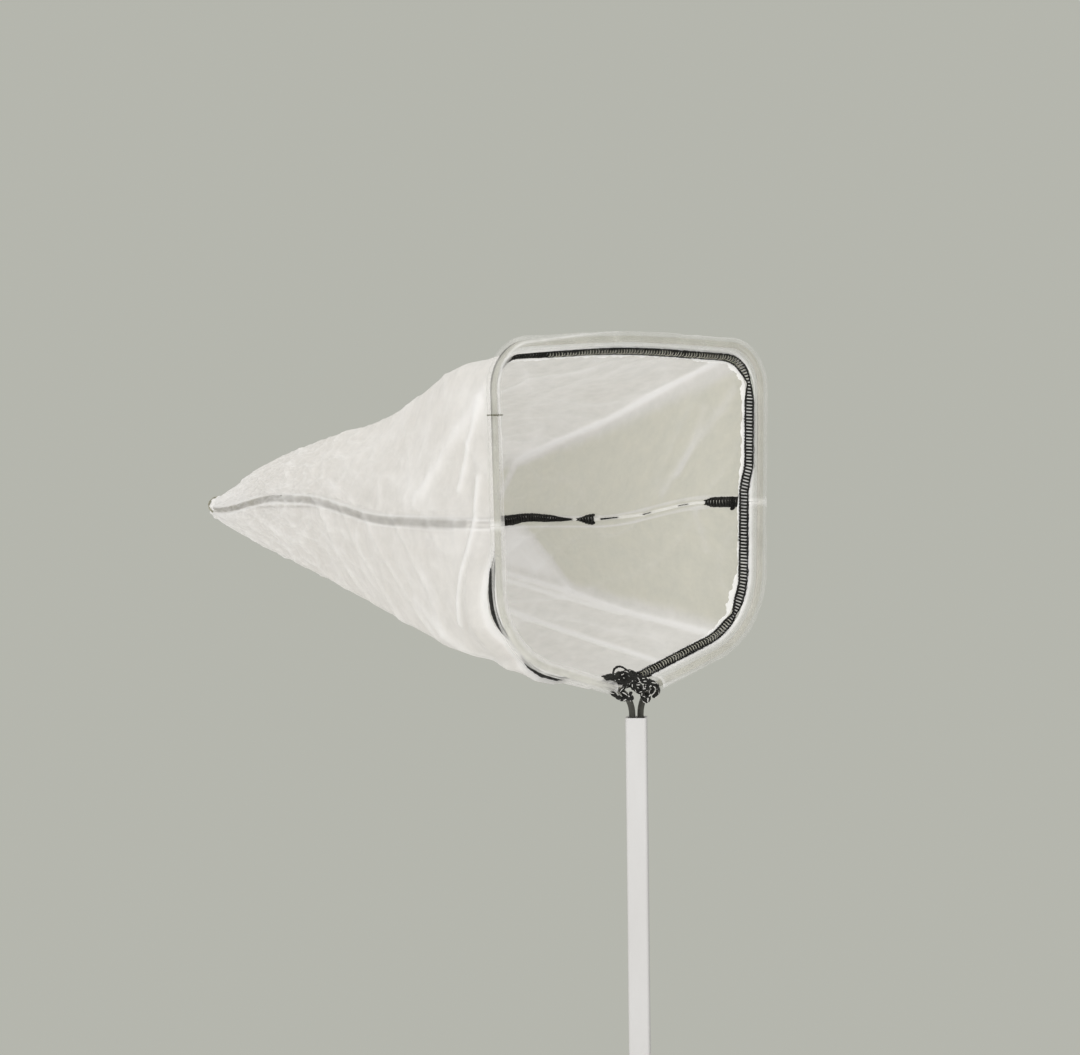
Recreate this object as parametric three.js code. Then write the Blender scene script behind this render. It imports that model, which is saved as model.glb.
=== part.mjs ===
// Pond net: a square tube handle, a bent wire hoop and a two-panel mesh bag sewn round the hoop.
// Millimetres, +Z up. The origin is the centre of the handle's lower end face. The hoop stands in
// the XZ plane, its mouth faces -Y, and the bag runs back along +Y.
import * as THREE from 'three';

// Handle: a square tube with a cap below and a plug above
const HANDLE_LENGTH = 600;
const HANDLE_WALL = 1.4;
const HANDLE_EDGE_RADIUS = 2.5;
const HANDLE_TURN = Math.PI / 4;
const CAP_PLATE = 3;
const CAP_CHAMFER = 1;
const CAP_STUB = 22;
const PLUG_LENGTH = 68;
const PLUG_RECESS = 3;
const PLUG_WALL = 0.93;

// Hoop: one wire, with heights measured up from the top of the handle
const WIRE_DIAMETER = 5.5;
const LEG_GAP = 3.9;
const LEG_DEPTH = 60;
const NECK_HEIGHT = 20;
const NECK_BEND = 24;
const HOOP_BOTTOM_WIDTH = 294;
const HOOP_BOTTOM_HEIGHT = 64;
const BOTTOM_BEND = 74;
const HOOP_TOP_WIDTH = 304;
const HOOP_TOP_HEIGHT = 314;
const TOP_BEND = 37;
const CROWN_RISE = 7.4;
const CROWN_BEND = 1000;

// Hem: the sleeve of mesh round the wire, with a flat tail that points inwards and back
const HEM_DIAMETER = 12;
const HEM_START = 4;
const HEM_TAIL = 10;
const HEM_TAIL_THICKNESS = 1.6;
const HEM_TAIL_ANGLE = Math.PI / 4;

// Overlock seams
const MOUTH_SEAM_WIDTH = 7.5;
const MOUTH_SEAM_THICKNESS = 1.8;
const SIDE_SEAM_WIDTH = 6;
const SIDE_SEAM_THICKNESS = 2;
const SIDE_SEAM_HEIGHT = 178;
const LEFT_SEAM_DROP = 10;

// Bag: two panels that narrow to a small gathered toe
const PANEL_THICKNESS = 1.2;
const PANEL_LAP = 2;
const APEX_RADIUS = 24;
const BAG_LENGTH = 532;
const BAG_LEAN = 60;
const BAG_DROP = 10;
const BAG_BELLY = 36;
const BAG_CROWN = 14;
const BAG_FULLNESS = 0.85;
const BAG_ROUNDING = 0.85;
const SLACK_PEAK = 1 / 6;
const SWELL_FLATTENING = 0.5;
const TOE_HEIGHT = 22;
const TOE_LENGTH = 12;
const FLEX_DEPTH = 266;
const FLEX_CLEARANCE = 0.6;
const FLEX_SEAM_GAP = 11;
const SIDE_SEAM_END = 48;

// Creases of the bag, between which its cloth lies nearly flat. Each is an angle round the bag, in degrees
// from the right side seam, at the mouth and at the toe.
const CREASE_ANGLE = [[43, 15], [138, 125], [160, 165], [200, 195], [222, 238], [270, 270], [316, 346]];
const FLAT_RATIO = 0.85;
const TOE_FLAT_RATIO = 0.34;
const FLAT_SHARE = 0.15;
const ROUND_SHARE = [0.55, 0.95];

// Sag of each side seam below a straight run, and the shares of the bag's length where it sets in and ends
const LEFT_SAG = -15;
const LEFT_SAG_SHARE = [[0.3, 0.62], [0.7, 0.97]];
const RIGHT_SAG = 17;
const RIGHT_SAG_SHARE = [[0.06, 0.28], [0.62, 0.82]];

// Neck tie: the seam's chain tail wound round both legs, with a knot in front of it
const TIE_DIAMETER = 3;
const TIE_TURNS = 3;
const TIE_PITCH = 3.8;
const TIE_START = 8.5;
const TIE_CLEARANCE = 0.7;
const KNOT_SIZE = 2.9;
const KNOT_DEPTH = 2.8;
const KNOT_OFFSET = -13;
const KNOT_RISE = 0.5;
const KNOT_END = 9;
const KNOT_OPEN = 0.7;
const TIE_ENDS_LOW = [[-25, 3], [-16, 2], [-8, 1]];
const TIE_ENDS_HIGH = [[7, 5], [14, 8], [20, 6], [23, 0], [23, -8]];

// Gap between pieces that touch, and how finely curves are stepped
const FIT = 0.3;
const BEND_STEP = Math.PI / 20;
const PANEL_RUN = 42;
const PANEL_ROWS = 8;
const EDGE_RUN = 4;
const WIRE_SIDES = 14;
const HEM_SIDES = 9;
const HEM_OPEN = Math.PI / 4;
const TIE_SIDES = 6;
const TIE_STEPS = 24;
const GAP_SAMPLES = 4;
const CORNER_SEGMENTS = 5;
const SOCKET_SEGMENTS = 16;

// Sizes that follow from the ones above
const wireRadius = WIRE_DIAMETER / 2;
const legOffset = (WIRE_DIAMETER + LEG_GAP) / 2;
const socketRadius = wireRadius + FIT;
const plugHalf = legOffset * Math.SQRT1_2 + socketRadius + PLUG_WALL;
const plugWidth = 2 * plugHalf;
const boreWidth = plugWidth + 2 * FIT;
const handleWidth = boreWidth + 2 * HANDLE_WALL;
const boreRadius = Math.max(HANDLE_EDGE_RADIUS - HANDLE_WALL, FIT);
const seamLevel = HANDLE_LENGTH + SIDE_SEAM_HEIGHT;

// Closed solid from points and triangles, turned right side out
function solid(points, faces) {
  const volume = faces.reduce((sum, [a, b, c]) => {
    const normal = new THREE.Vector3().crossVectors(points[b], points[c]);
    return sum + points[a].dot(normal);
  }, 0);
  const index = faces.flatMap(([a, b, c]) => (volume > 0 ? [a, b, c] : [a, c, b]));
  const geometry = new THREE.BufferGeometry().setFromPoints(points);
  geometry.setIndex(index);
  geometry.computeVertexNormals();
  return geometry;
}

// Solid through a row of convex rings, closed at both ends
function loft(rings) {
  const size = rings[0].length;
  const last = (rings.length - 1) * size;
  const faces = [];
  for (let row = 0; row < last; row += size) {
    for (let j = 0; j < size; j += 1) {
      const a = row + j;
      const b = row + ((j + 1) % size);
      faces.push([a, b, b + size], [a, b + size, a + size]);
    }
  }
  for (let j = 1; j + 1 < size; j += 1) {
    faces.push([0, j + 1, j], [last, last + j, last + j + 1]);
  }
  return solid(rings.flat(), faces);
}

// Solid wall between two grids of points; a closed wall joins its last column to its first
function shell(outer, inner, closed) {
  const columns = outer[0].length;
  const count = outer.length * columns;
  const last = count - columns;
  const spans = closed ? columns : columns - 1;
  const faces = [];
  const quad = (a, b, c, d) => faces.push([a, b, c], [a, c, d]);
  for (let j = 0; j < spans; j += 1) {
    const k = (j + 1) % columns;
    for (let row = 0; row < last; row += columns) {
      const [a, b, c, d] = [row + j, row + k, row + columns + k, row + columns + j];
      quad(a, b, c, d);
      quad(count + d, count + c, count + b, count + a);
    }
    quad(k, j, count + j, count + k);
    quad(last + j, last + k, count + last + k, count + last + j);
  }
  if (!closed) {
    for (let a = 0; a < last; a += columns) {
      const d = a + columns;
      const end = columns - 1;
      quad(a, d, count + d, count + a);
      quad(d + end, a + end, count + a + end, count + d + end);
    }
  }
  return solid([...outer.flat(), ...inner.flat()], faces);
}

// Points of a circle as [across, along] pairs
function circle(radius, sides) {
  return Array.from({ length: sides }, (_, i) => {
    const angle = (2 * Math.PI * i) / sides;
    return [radius * Math.cos(angle), radius * Math.sin(angle)];
  });
}

// Flat band with rounded edges, centred on the origin of its section
function band(width, thickness) {
  const flat = (width - thickness) / 2;
  const half = thickness / 2;
  const nose = flat + half * Math.SQRT1_2;
  return [[-flat, -half], [flat, -half], [nose, 0], [flat, half], [-flat, half], [-nose, 0]];
}

// Square with rounded corners, as a shape that can be extruded or sampled
function roundedSquare(width, radius, outline = new THREE.Shape()) {
  const flat = width / 2 - radius;
  outline.moveTo(-flat, -width / 2);
  outline.lineTo(flat, -width / 2);
  outline.absarc(flat, -flat, radius, -Math.PI / 2, 0);
  outline.lineTo(width / 2, flat);
  outline.absarc(flat, flat, radius, 0, Math.PI / 2);
  outline.lineTo(-flat, width / 2);
  outline.absarc(-flat, flat, radius, Math.PI / 2, Math.PI);
  outline.lineTo(-width / 2, -flat);
  outline.absarc(-flat, -flat, radius, Math.PI, 1.5 * Math.PI);
  return outline;
}

// Straight prism of a shape between two heights
function prism(shape, low, high, curveSegments) {
  const options = { depth: high - low, bevelEnabled: false, curveSegments };
  return new THREE.ExtrudeGeometry(shape, options).translate(0, 0, low);
}

// Path in the hoop's plane: straight runs between corners, each corner rounded to its radius where
// the runs beside it leave room: all of a run that ends unbent, or half of one between two bends.
// Gives points (x, z) with the direction of travel at each.
function bendPath(corners, longestRun = Infinity) {
  const path = [];
  const lineTo = (point, direction) => {
    const from = path.at(-1).point;
    const pieces = Math.max(1, Math.ceil(from.distanceTo(point) / longestRun));
    for (let i = 1; i <= pieces; i += 1) {
      path.push({ point: from.clone().lerp(point, i / pieces), direction });
    }
  };
  const heading = (i) => corners[i + 1].at.clone().sub(corners[i].at).normalize();
  path.push({ point: corners[0].at.clone(), direction: heading(0) });
  for (let i = 1; i + 1 < corners.length; i += 1) {
    const { at, radius } = corners[i];
    const before = heading(i - 1);
    const turn = Math.atan2(before.cross(heading(i)), before.dot(heading(i)));
    const slope = Math.tan(Math.abs(turn) / 2);
    const room = Math.min(...[corners[i - 1], corners[i + 1]].map((other) => (
      at.distanceTo(other.at) / (other.radius > 0 ? 2 : 1)
    )));
    const bend = Math.min(radius, room / slope);
    const start = at.clone().addScaledVector(before, -bend * slope);
    const spoke = new THREE.Vector2(before.y, -before.x).multiplyScalar(bend * Math.sign(turn));
    const centre = start.clone().sub(spoke);
    lineTo(start, before);
    const steps = Math.max(2, Math.ceil(Math.abs(turn) / BEND_STEP));
    for (let step = 1; step <= steps; step += 1) {
      const angle = (turn * step) / steps;
      const point = spoke.clone().rotateAround(new THREE.Vector2(), angle).add(centre);
      path.push({ point, direction: before.clone().rotateAround(new THREE.Vector2(), angle) });
    }
  }
  lineTo(corners.at(-1).at, heading(corners.length - 2));
  return path;
}

// Rings of a section of [inward, back] offsets carried along a path round the hoop
function ringsAlong(path, section) {
  return path.map(({ point, direction }) => section.map(([inward, back]) => new THREE.Vector3(
    point.x + direction.y * inward,
    back,
    point.y - direction.x * inward,
  )));
}

// Corners of the hoop. A side of +1 is the right of someone who looks into the mouth.
const corner = (x, height, radius = 0) => ({ at: new THREE.Vector2(x, HANDLE_LENGTH + height), radius });
const legEnd = (side) => corner(side * legOffset, -LEG_DEPTH);
const neck = (side) => corner(side * legOffset, NECK_HEIGHT, NECK_BEND);
const lowerCorner = (side) => corner(side * HOOP_BOTTOM_WIDTH / 2, HOOP_BOTTOM_HEIGHT, BOTTOM_BEND);
const upperCorner = (side) => corner(side * HOOP_TOP_WIDTH / 2, HOOP_TOP_HEIGHT, TOP_BEND);
const crown = corner(0, HOOP_TOP_HEIGHT + CROWN_RISE, CROWN_BEND);

// Direction of each lower side of the hoop, its angle at the neck and the point where the two meet
const lowerSide = lowerCorner(1).at.clone().sub(neck(1).at);
const lowerSlope = Math.atan2(lowerSide.y, lowerSide.x);
const apex = corner(0, NECK_HEIGHT - legOffset * Math.tan(lowerSlope), APEX_RADIUS);
const neckRun = NECK_BEND * Math.tan((Math.PI / 2 - lowerSlope) / 2);

// Point where a side seam crosses the hoop, moved along the upright by a small step
function seamPoint(side, step) {
  const low = lowerCorner(side).at;
  const high = upperCorner(side).at;
  const level = seamLevel - (side < 0 ? LEFT_SEAM_DROP : 0);
  const share = (level + step - low.y) / (high.y - low.y);
  return { at: low.clone().lerp(high, share), radius: 0 };
}

// Point on a lower side of the hoop where the hem begins, clear of the neck bend
function hemStart(side) {
  const run = new THREE.Vector2(side * Math.cos(lowerSlope), Math.sin(lowerSlope));
  return { at: neck(side).at.clone().addScaledVector(run, neckRun + HEM_START), radius: 0 };
}

const group = new THREE.Group();
const handle = new THREE.Group();
handle.rotation.z = HANDLE_TURN;
group.add(handle);

function addPart(parent, name, geometry, color, roughness, metalness) {
  const material = new THREE.MeshStandardMaterial({ color, roughness, metalness });
  const mesh = new THREE.Mesh(geometry, material);
  mesh.name = name;
  parent.add(mesh);
}

const WHITE_COAT = [0xdedcda, 0.45, 0.1];
const WHITE_PLASTIC = [0xd2d0cb, 0.55, 0];
const STEEL = [0x4a4a48, 0.3, 0.9];
const MESH_CLOTH = [0xe6e3d8, 0.85, 0];
const HEM_CLOTH = [0xe2dfd6, 0.8, 0];
const BLACK_THREAD = [0x1d1d1c, 0.9, 0];

// Handle tube
function handleTube() {
  const section = roundedSquare(handleWidth, HANDLE_EDGE_RADIUS);
  section.holes.push(roundedSquare(boreWidth, boreRadius, new THREE.Path()));
  return prism(section, CAP_PLATE + FIT, HANDLE_LENGTH, CORNER_SEGMENTS);
}

// End cap: a chamfered plate under the tube and a stub that fills its bore
function endCap() {
  const step = (width, radius, height) => roundedSquare(width, radius)
    .extractPoints(CORNER_SEGMENTS).shape.map(({ x, y }) => new THREE.Vector3(x, y, height));
  const stubRadius = Math.max(boreRadius - FIT, FIT);
  const tip = plugWidth - 2 * CAP_CHAMFER;
  const stubTop = CAP_PLATE + CAP_STUB;
  return loft([
    step(handleWidth - 2 * CAP_CHAMFER, HANDLE_EDGE_RADIUS, 0),
    step(handleWidth, HANDLE_EDGE_RADIUS, CAP_CHAMFER),
    step(handleWidth, HANDLE_EDGE_RADIUS, CAP_PLATE),
    step(plugWidth, stubRadius, CAP_PLATE),
    step(plugWidth, stubRadius, stubTop - CAP_CHAMFER),
    step(tip, stubRadius, stubTop),
  ]);
}

// Plug in the top of the tube, with a socket through it for each leg of the hoop
function topPlug() {
  const section = roundedSquare(plugWidth, Math.max(boreRadius - FIT, FIT));
  for (const side of [-1, 1]) {
    const x = side * legOffset * Math.cos(HANDLE_TURN);
    const y = -side * legOffset * Math.sin(HANDLE_TURN);
    section.holes.push(new THREE.Path().absarc(x, y, socketRadius, 0, 2 * Math.PI));
  }
  const top = HANDLE_LENGTH - PLUG_RECESS;
  return prism(section, top - PLUG_LENGTH, top, SOCKET_SEGMENTS);
}

addPart(handle, 'handle_tube', handleTube(), ...WHITE_COAT);
addPart(handle, 'handle_end_cap', endCap(), ...WHITE_PLASTIC);
addPart(handle, 'handle_top_plug', topPlug(), ...WHITE_PLASTIC);

// Hoop wire
const wirePath = bendPath([
  legEnd(-1), neck(-1), lowerCorner(-1), upperCorner(-1), crown,
  upperCorner(1), lowerCorner(1), neck(1), legEnd(1),
]);
addPart(group, 'hoop_wire', loft(ringsAlong(wirePath, circle(wireRadius, WIRE_SIDES))), ...STEEL);

// Place in the hem's section, as [inward, back]: so far along the tail, and so far behind it
function tailPoint(along, behind) {
  const inward = along * Math.cos(HEM_TAIL_ANGLE) - behind * Math.sin(HEM_TAIL_ANGLE);
  const back = along * Math.sin(HEM_TAIL_ANGLE) + behind * Math.cos(HEM_TAIL_ANGLE);
  return [inward, back];
}

// Hem: a sleeve whose section is a drop that draws in to the flat tail
function hem(corners) {
  const path = bendPath(corners);
  const half = HEM_TAIL_THICKNESS / 2;
  const angles = Array.from({ length: HEM_SIDES }, (_, i) => (
    HEM_OPEN + (2 * (Math.PI - HEM_OPEN) * i) / (HEM_SIDES - 1)
  ));
  const radius = HEM_DIAMETER / 2;
  const round = angles.map((angle) => tailPoint(radius * Math.cos(angle), radius * Math.sin(angle)));
  const drop = [...round, tailPoint(HEM_TAIL, -half), tailPoint(HEM_TAIL, half)];
  const boreRadiusAtCorners = (wireRadius + FIT) / Math.cos(HEM_OPEN / 2);
  const bore = drop.map(([inward, back]) => {
    const scale = boreRadiusAtCorners / Math.hypot(inward, back);
    return [inward * scale, back * scale];
  });
  return shell(ringsAlong(path, drop), ringsAlong(path, bore), true);
}

const halfGap = FIT / 2;
addPart(group, 'hem_upper', hem([
  seamPoint(-1, halfGap), upperCorner(-1), crown, upperCorner(1), seamPoint(1, halfGap),
]), ...HEM_CLOTH);
addPart(group, 'hem_lower_left', hem([hemStart(-1), lowerCorner(-1), seamPoint(-1, -halfGap)]), ...HEM_CLOTH);
addPart(group, 'hem_lower_right', hem([seamPoint(1, -halfGap), lowerCorner(1), hemStart(1)]), ...HEM_CLOTH);

// Mouth seam: the overlock band along the hem's tail, from one side of the apex round to the other
const seamInner = HEM_TAIL + FIT;
const seamOuter = seamInner + MOUTH_SEAM_WIDTH;

function mouthSeam() {
  const clear = APEX_RADIUS * Math.tan(lowerSlope) + FIT;
  const end = (side) => {
    const run = new THREE.Vector2(side * Math.cos(lowerSlope), Math.sin(lowerSlope));
    return { at: apex.at.clone().addScaledVector(run, clear), radius: 0 };
  };
  const path = bendPath([
    end(-1), lowerCorner(-1), upperCorner(-1), crown, upperCorner(1), lowerCorner(1), end(1),
  ]);
  const middle = (seamInner + seamOuter) / 2;
  const section = band(MOUTH_SEAM_WIDTH, MOUTH_SEAM_THICKNESS);
  return loft(ringsAlong(path, section.map(([along, behind]) => tailPoint(middle + along, behind))));
}

addPart(group, 'mouth_seam', mouthSeam(), ...BLACK_THREAD);

// Bag wall. The panels start behind the mouth seam, lapped over its outer edge.
const [panelInset, bagFront] = tailPoint(seamInner + PANEL_LAP, MOUTH_SEAM_THICKNESS / 2 + FIT);
const mouthCentre = new THREE.Vector2(0, seamLevel);
const ovalWidth = HOOP_TOP_WIDTH / 2 - panelInset;
const ovalHeight = (HOOP_TOP_HEIGHT + CROWN_RISE - NECK_HEIGHT) / 2 - panelInset;
const toeScale = TOE_HEIGHT / 2 / ovalHeight;

// Centre of the bag's section at a depth behind the mouth
function bagCentre(depth) {
  const share = depth / BAG_LENGTH;
  return new THREE.Vector3(-BAG_LEAN * share, bagFront + depth, seamLevel - BAG_DROP * share);
}

// How far the slack of the cloth stands out at a share of the bag's length: wholly at its peak, and not
// at the mouth or the toe
const slackFall = (1 / SLACK_PEAK - 1) / 2;
const slackAt = (share) => Math.sqrt(share) * (1 - share) ** slackFall;
const slack = (share) => slackAt(share) / slackAt(SLACK_PEAK);

// Line from the middle of the mouth to the bag's edge at a station of the hoop
function mouthSpoke({ point, direction }) {
  const inward = new THREE.Vector2(direction.y, -direction.x);
  return point.clone().addScaledVector(inward, panelInset - PANEL_THICKNESS).sub(mouthCentre);
}

// The mouth's edge as the angle and length of its spokes, in order round the bag
const upperRun = [seamPoint(-1, 0), upperCorner(-1), crown, upperCorner(1), seamPoint(1, 0)];
const lowerRun = [seamPoint(1, 0), lowerCorner(1), apex, lowerCorner(-1), seamPoint(-1, 0)];
const mouthEdge = [upperRun, lowerRun]
  .flatMap((corners) => bendPath(corners, EDGE_RUN).map(mouthSpoke))
  .map((spoke) => ({ angle: spoke.angle(), length: spoke.length() }))
  .sort((a, b) => a.angle - b.angle);

// Length of the mouth's spoke at any angle
function spokeLength(angle) {
  const turn = THREE.MathUtils.euclideanModulo(angle, 2 * Math.PI);
  const next = mouthEdge.findIndex((spoke) => spoke.angle > turn);
  const after = mouthEdge.at(Math.max(next, 0));
  const before = mouthEdge.at(Math.max(next, 0) - 1);
  const gap = THREE.MathUtils.euclideanModulo(after.angle - before.angle, 2 * Math.PI);
  const part = THREE.MathUtils.euclideanModulo(turn - before.angle, 2 * Math.PI);
  return THREE.MathUtils.lerp(before.length, after.length, gap > 0 ? part / gap : 0);
}

// Reach of the bag's wall before it is creased. The section shrinks towards the toe and turns from the
// hoop's outline into an oval, bellied below and a little crowned above.
function smoothReach(angle, share) {
  const across = Math.hypot(ovalHeight * Math.cos(angle), ovalWidth * Math.sin(angle));
  const oval = (ovalWidth * ovalHeight) / across;
  const scale = THREE.MathUtils.lerp(toeScale, 1, (1 - share) ** BAG_FULLNESS);
  const sine = Math.sin(angle);
  const billow = sine > 0 ? BAG_CROWN : BAG_BELLY;
  const swell = billow * Math.abs(sine) * (1 - SWELL_FLATTENING * sine ** 4) * slack(share);
  return THREE.MathUtils.lerp(spokeLength(angle), oval, BAG_ROUNDING * share) * scale + swell;
}

// Reach of a flat wall from the crease before an angle to the crease after it
function flatReach(angle, share) {
  const { degToRad, lerp } = THREE.MathUtils;
  const folds = CREASE_ANGLE.map(([mouth, toe]) => degToRad(lerp(mouth, toe, share)));
  const before = folds.findLast((fold) => fold <= angle) ?? folds.at(-1) - 2 * Math.PI;
  const after = folds.find((fold) => fold > angle) ?? folds[0] + 2 * Math.PI;
  const first = smoothReach(before, share);
  const second = smoothReach(after, share);
  const lever = first * Math.sin(angle - before) + second * Math.sin(after - angle);
  return (first * second * Math.sin(after - before)) / lever;
}

// How flat the cloth lies between its creases: not at all at the mouth, and less again at the toe
function flatness(share) {
  const rounded = THREE.MathUtils.smoothstep(share, ...ROUND_SHARE);
  const flat = THREE.MathUtils.lerp(FLAT_RATIO, TOE_FLAT_RATIO, rounded);
  return flat * THREE.MathUtils.smoothstep(share, 0, FLAT_SHARE);
}

// How far the cloth beside a side seam hangs below a straight run
function seamSag(angle, share) {
  const left = Math.cos(angle) < 0;
  const sag = left ? LEFT_SAG : RIGHT_SAG;
  const [start, end] = left ? LEFT_SAG_SHARE : RIGHT_SAG_SHARE;
  const { smoothstep } = THREE.MathUtils;
  return sag * (smoothstep(share, ...start) - smoothstep(share, ...end)) * Math.cos(angle) ** 4;
}

// Point of the bag's wall behind a point of the hoop, sunk below the wall's outer face
function bagPoint(station, depth, sink) {
  const share = depth / BAG_LENGTH;
  const angle = mouthSpoke(station).angle();
  const across = new THREE.Vector3(Math.cos(angle), 0, Math.sin(angle));
  const reach = THREE.MathUtils.lerp(smoothReach(angle, share), flatReach(angle, share), flatness(share));
  const point = bagCentre(depth).addScaledVector(across, reach - sink);
  point.z -= seamSag(angle, share);
  return point;
}

// Evenly spaced depths, ends included
const depths = (from, to) => Array.from({ length: PANEL_ROWS + 1 }, (_, i) => (
  from + ((to - from) * i) / PANEL_ROWS
));

// One panel of the bag over a row of depths, moved off its neighbour at the side seams
function panel(corners, lift, rows, sink) {
  const edge = bendPath(corners, PANEL_RUN);
  const offset = new THREE.Vector3(0, 0, lift);
  const wall = (below) => rows.map((depth) => (
    edge.map((station) => bagPoint(station, depth, below).add(offset))
  ));
  return shell(wall(sink), wall(sink + PANEL_THICKNESS), false);
}

// Point of a panel's wall between two of its rows, as the straight facet there has it
function facetPoint(station, depth, sink, rows) {
  const next = Math.max(1, rows.findIndex((row) => row >= depth));
  const [near, far] = [rows[next - 1], rows[next]];
  return bagPoint(station, near, sink).lerp(bagPoint(station, far, sink), (depth - near) / (far - near));
}

// Side seam: an overlock band inside the wall, along the line where the panels meet
function sideSeam(side, rows, from, to, sink) {
  const station = { point: seamPoint(side, 0).at, direction: new THREE.Vector2(0, -side) };
  const below = sink + PANEL_THICKNESS + FIT + SIDE_SEAM_THICKNESS / 2;
  const section = band(SIDE_SEAM_WIDTH, SIDE_SEAM_THICKNESS);
  const inside = rows.filter((row) => row > from && row < to);
  return loft([from, ...inside, to].map((depth) => {
    const middle = facetPoint(station, depth, below, rows);
    return section.map(([up, out]) => middle.clone().add(new THREE.Vector3(side * out, 0, up)));
  }));
}

// The wall is parted where the bag bends. The toe half nests inside the mouth half's edge.
const toeSink = PANEL_THICKNESS + FLEX_CLEARANCE;
const seamStart = tailPoint(seamOuter, MOUTH_SEAM_THICKNESS / 2)[1] - bagFront + FIT;
const sides = { left: -1, right: 1 };
const mouthRows = depths(0, FLEX_DEPTH);
const toeRows = depths(FLEX_DEPTH, BAG_LENGTH);

const panels = { upper: [upperRun, halfGap], lower: [lowerRun, -halfGap] };
for (const [name, [run, lift]] of Object.entries(panels)) {
  addPart(group, `${name}_panel_mouth`, panel(run, lift, mouthRows, 0), ...MESH_CLOTH);
  addPart(group, `${name}_panel_toe`, panel(run, lift, toeRows, toeSink), ...MESH_CLOTH);
}
for (const [name, side] of Object.entries(sides)) {
  const mouthHalf = sideSeam(side, mouthRows, seamStart, FLEX_DEPTH - FLEX_SEAM_GAP, 0);
  const toeHalf = sideSeam(side, toeRows, FLEX_DEPTH + FIT, BAG_LENGTH - SIDE_SEAM_END, toeSink);
  addPart(group, `${name}_seam_mouth`, mouthHalf, ...BLACK_THREAD);
  addPart(group, `${name}_seam_toe`, toeHalf, ...BLACK_THREAD);
}

// Toe gather: the drawn-together ends of both panels, narrower across than it is high
function toeGather() {
  const radius = TOE_HEIGHT / 2 - toeSink;
  const profile = [[0, 0], [radius, 0], [radius, TOE_LENGTH / 2], [radius / 2, TOE_LENGTH], [0, TOE_LENGTH]];
  const outline = profile.map(([across, along]) => new THREE.Vector2(across, along));
  const place = bagCentre(BAG_LENGTH);
  return new THREE.LatheGeometry(outline, WIRE_SIDES).translate(place.x, place.y + FIT, place.z);
}

addPart(group, 'toe_gather', toeGather(), ...HEM_CLOTH);

// Least gap between the turns of a cord, measured on points along its middle line
function leastGap(curve, points, diameter) {
  const line = curve.getSpacedPoints(points);
  const apart = Math.ceil((2 * diameter * points) / curve.getLength());
  let least = Infinity;
  for (let i = 0; i + apart < line.length; i += 1) {
    for (let j = i + apart; j < line.length; j += 1) {
      least = Math.min(least, line[i].distanceTo(line[j]));
    }
  }
  return least - diameter;
}

// Cord along a smooth curve, with its least gap to itself printed
function cord(name, points, steps) {
  const curve = new THREE.CatmullRomCurve3(points);
  const outline = circle(TIE_DIAMETER / 2, TIE_SIDES).map(([x, y]) => new THREE.Vector2(x, y));
  const section = new THREE.Shape(outline);
  const gap = leastGap(curve, GAP_SAMPLES * steps, TIE_DIAMETER);
  console.log(`${name}: least gap to itself ${gap.toFixed(2)} mm`);
  return new THREE.ExtrudeGeometry(section, { extrudePath: curve, steps, bevelEnabled: false });
}

// Point of the winding after a number of turns: round both wires at once, wider as they part
const tieReach = wireRadius + TIE_CLEARANCE + TIE_DIAMETER / 2;

function tiePoint(turns) {
  const height = TIE_START + TIE_PITCH * turns;
  const climb = THREE.MathUtils.clamp((height - NECK_HEIGHT + neckRun) / NECK_BEND, 0, 1);
  const lean = Math.asin(climb);
  const half = legOffset + NECK_BEND * (1 - Math.cos(lean));
  const bend = Math.PI * tieReach;
  const along = (turns % 1) * (4 * half + 2 * bend);
  const place = (x, y) => new THREE.Vector3(x, y, HANDLE_LENGTH + height);
  const round = (side, angle) => place(
    side * half + (tieReach * Math.cos(angle)) / Math.cos(lean),
    tieReach * Math.sin(angle),
  );
  if (along < half) {
    return place(along, -tieReach);
  }
  if (along < half + bend) {
    return round(1, (along - half) / tieReach - Math.PI / 2);
  }
  if (along < 3 * half + bend) {
    return place(2 * half + bend - along, tieReach);
  }
  if (along < 3 * half + 2 * bend) {
    return round(-1, (along - 3 * half - bend) / tieReach + Math.PI / 2);
  }
  return place(along - 4 * half - 2 * bend, -tieReach);
}

// Neck tie: a short free end, the winding, and a longer end that arches over to the right
const tieFront = tieReach + TIE_DIAMETER + TIE_CLEARANCE;
const tieTop = TIE_START + TIE_PITCH * TIE_TURNS;
const tieEnd = (x, forward, height) => new THREE.Vector3(x, -tieReach - forward, HANDLE_LENGTH + height);

function neckTie() {
  const steps = TIE_TURNS * TIE_STEPS;
  const winding = Array.from({ length: steps + 1 }, (_, i) => tiePoint(i / TIE_STEPS));
  const forward = tieFront - tieReach;
  const first = TIE_ENDS_LOW.map(([x, height]) => tieEnd(x, forward, TIE_START + height));
  const last = TIE_ENDS_HIGH.map(([x, height]) => tieEnd(x, forward, tieTop + height));
  return cord('neck_tie', [...first, ...winding, ...last], steps + TIE_STEPS);
}

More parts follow.
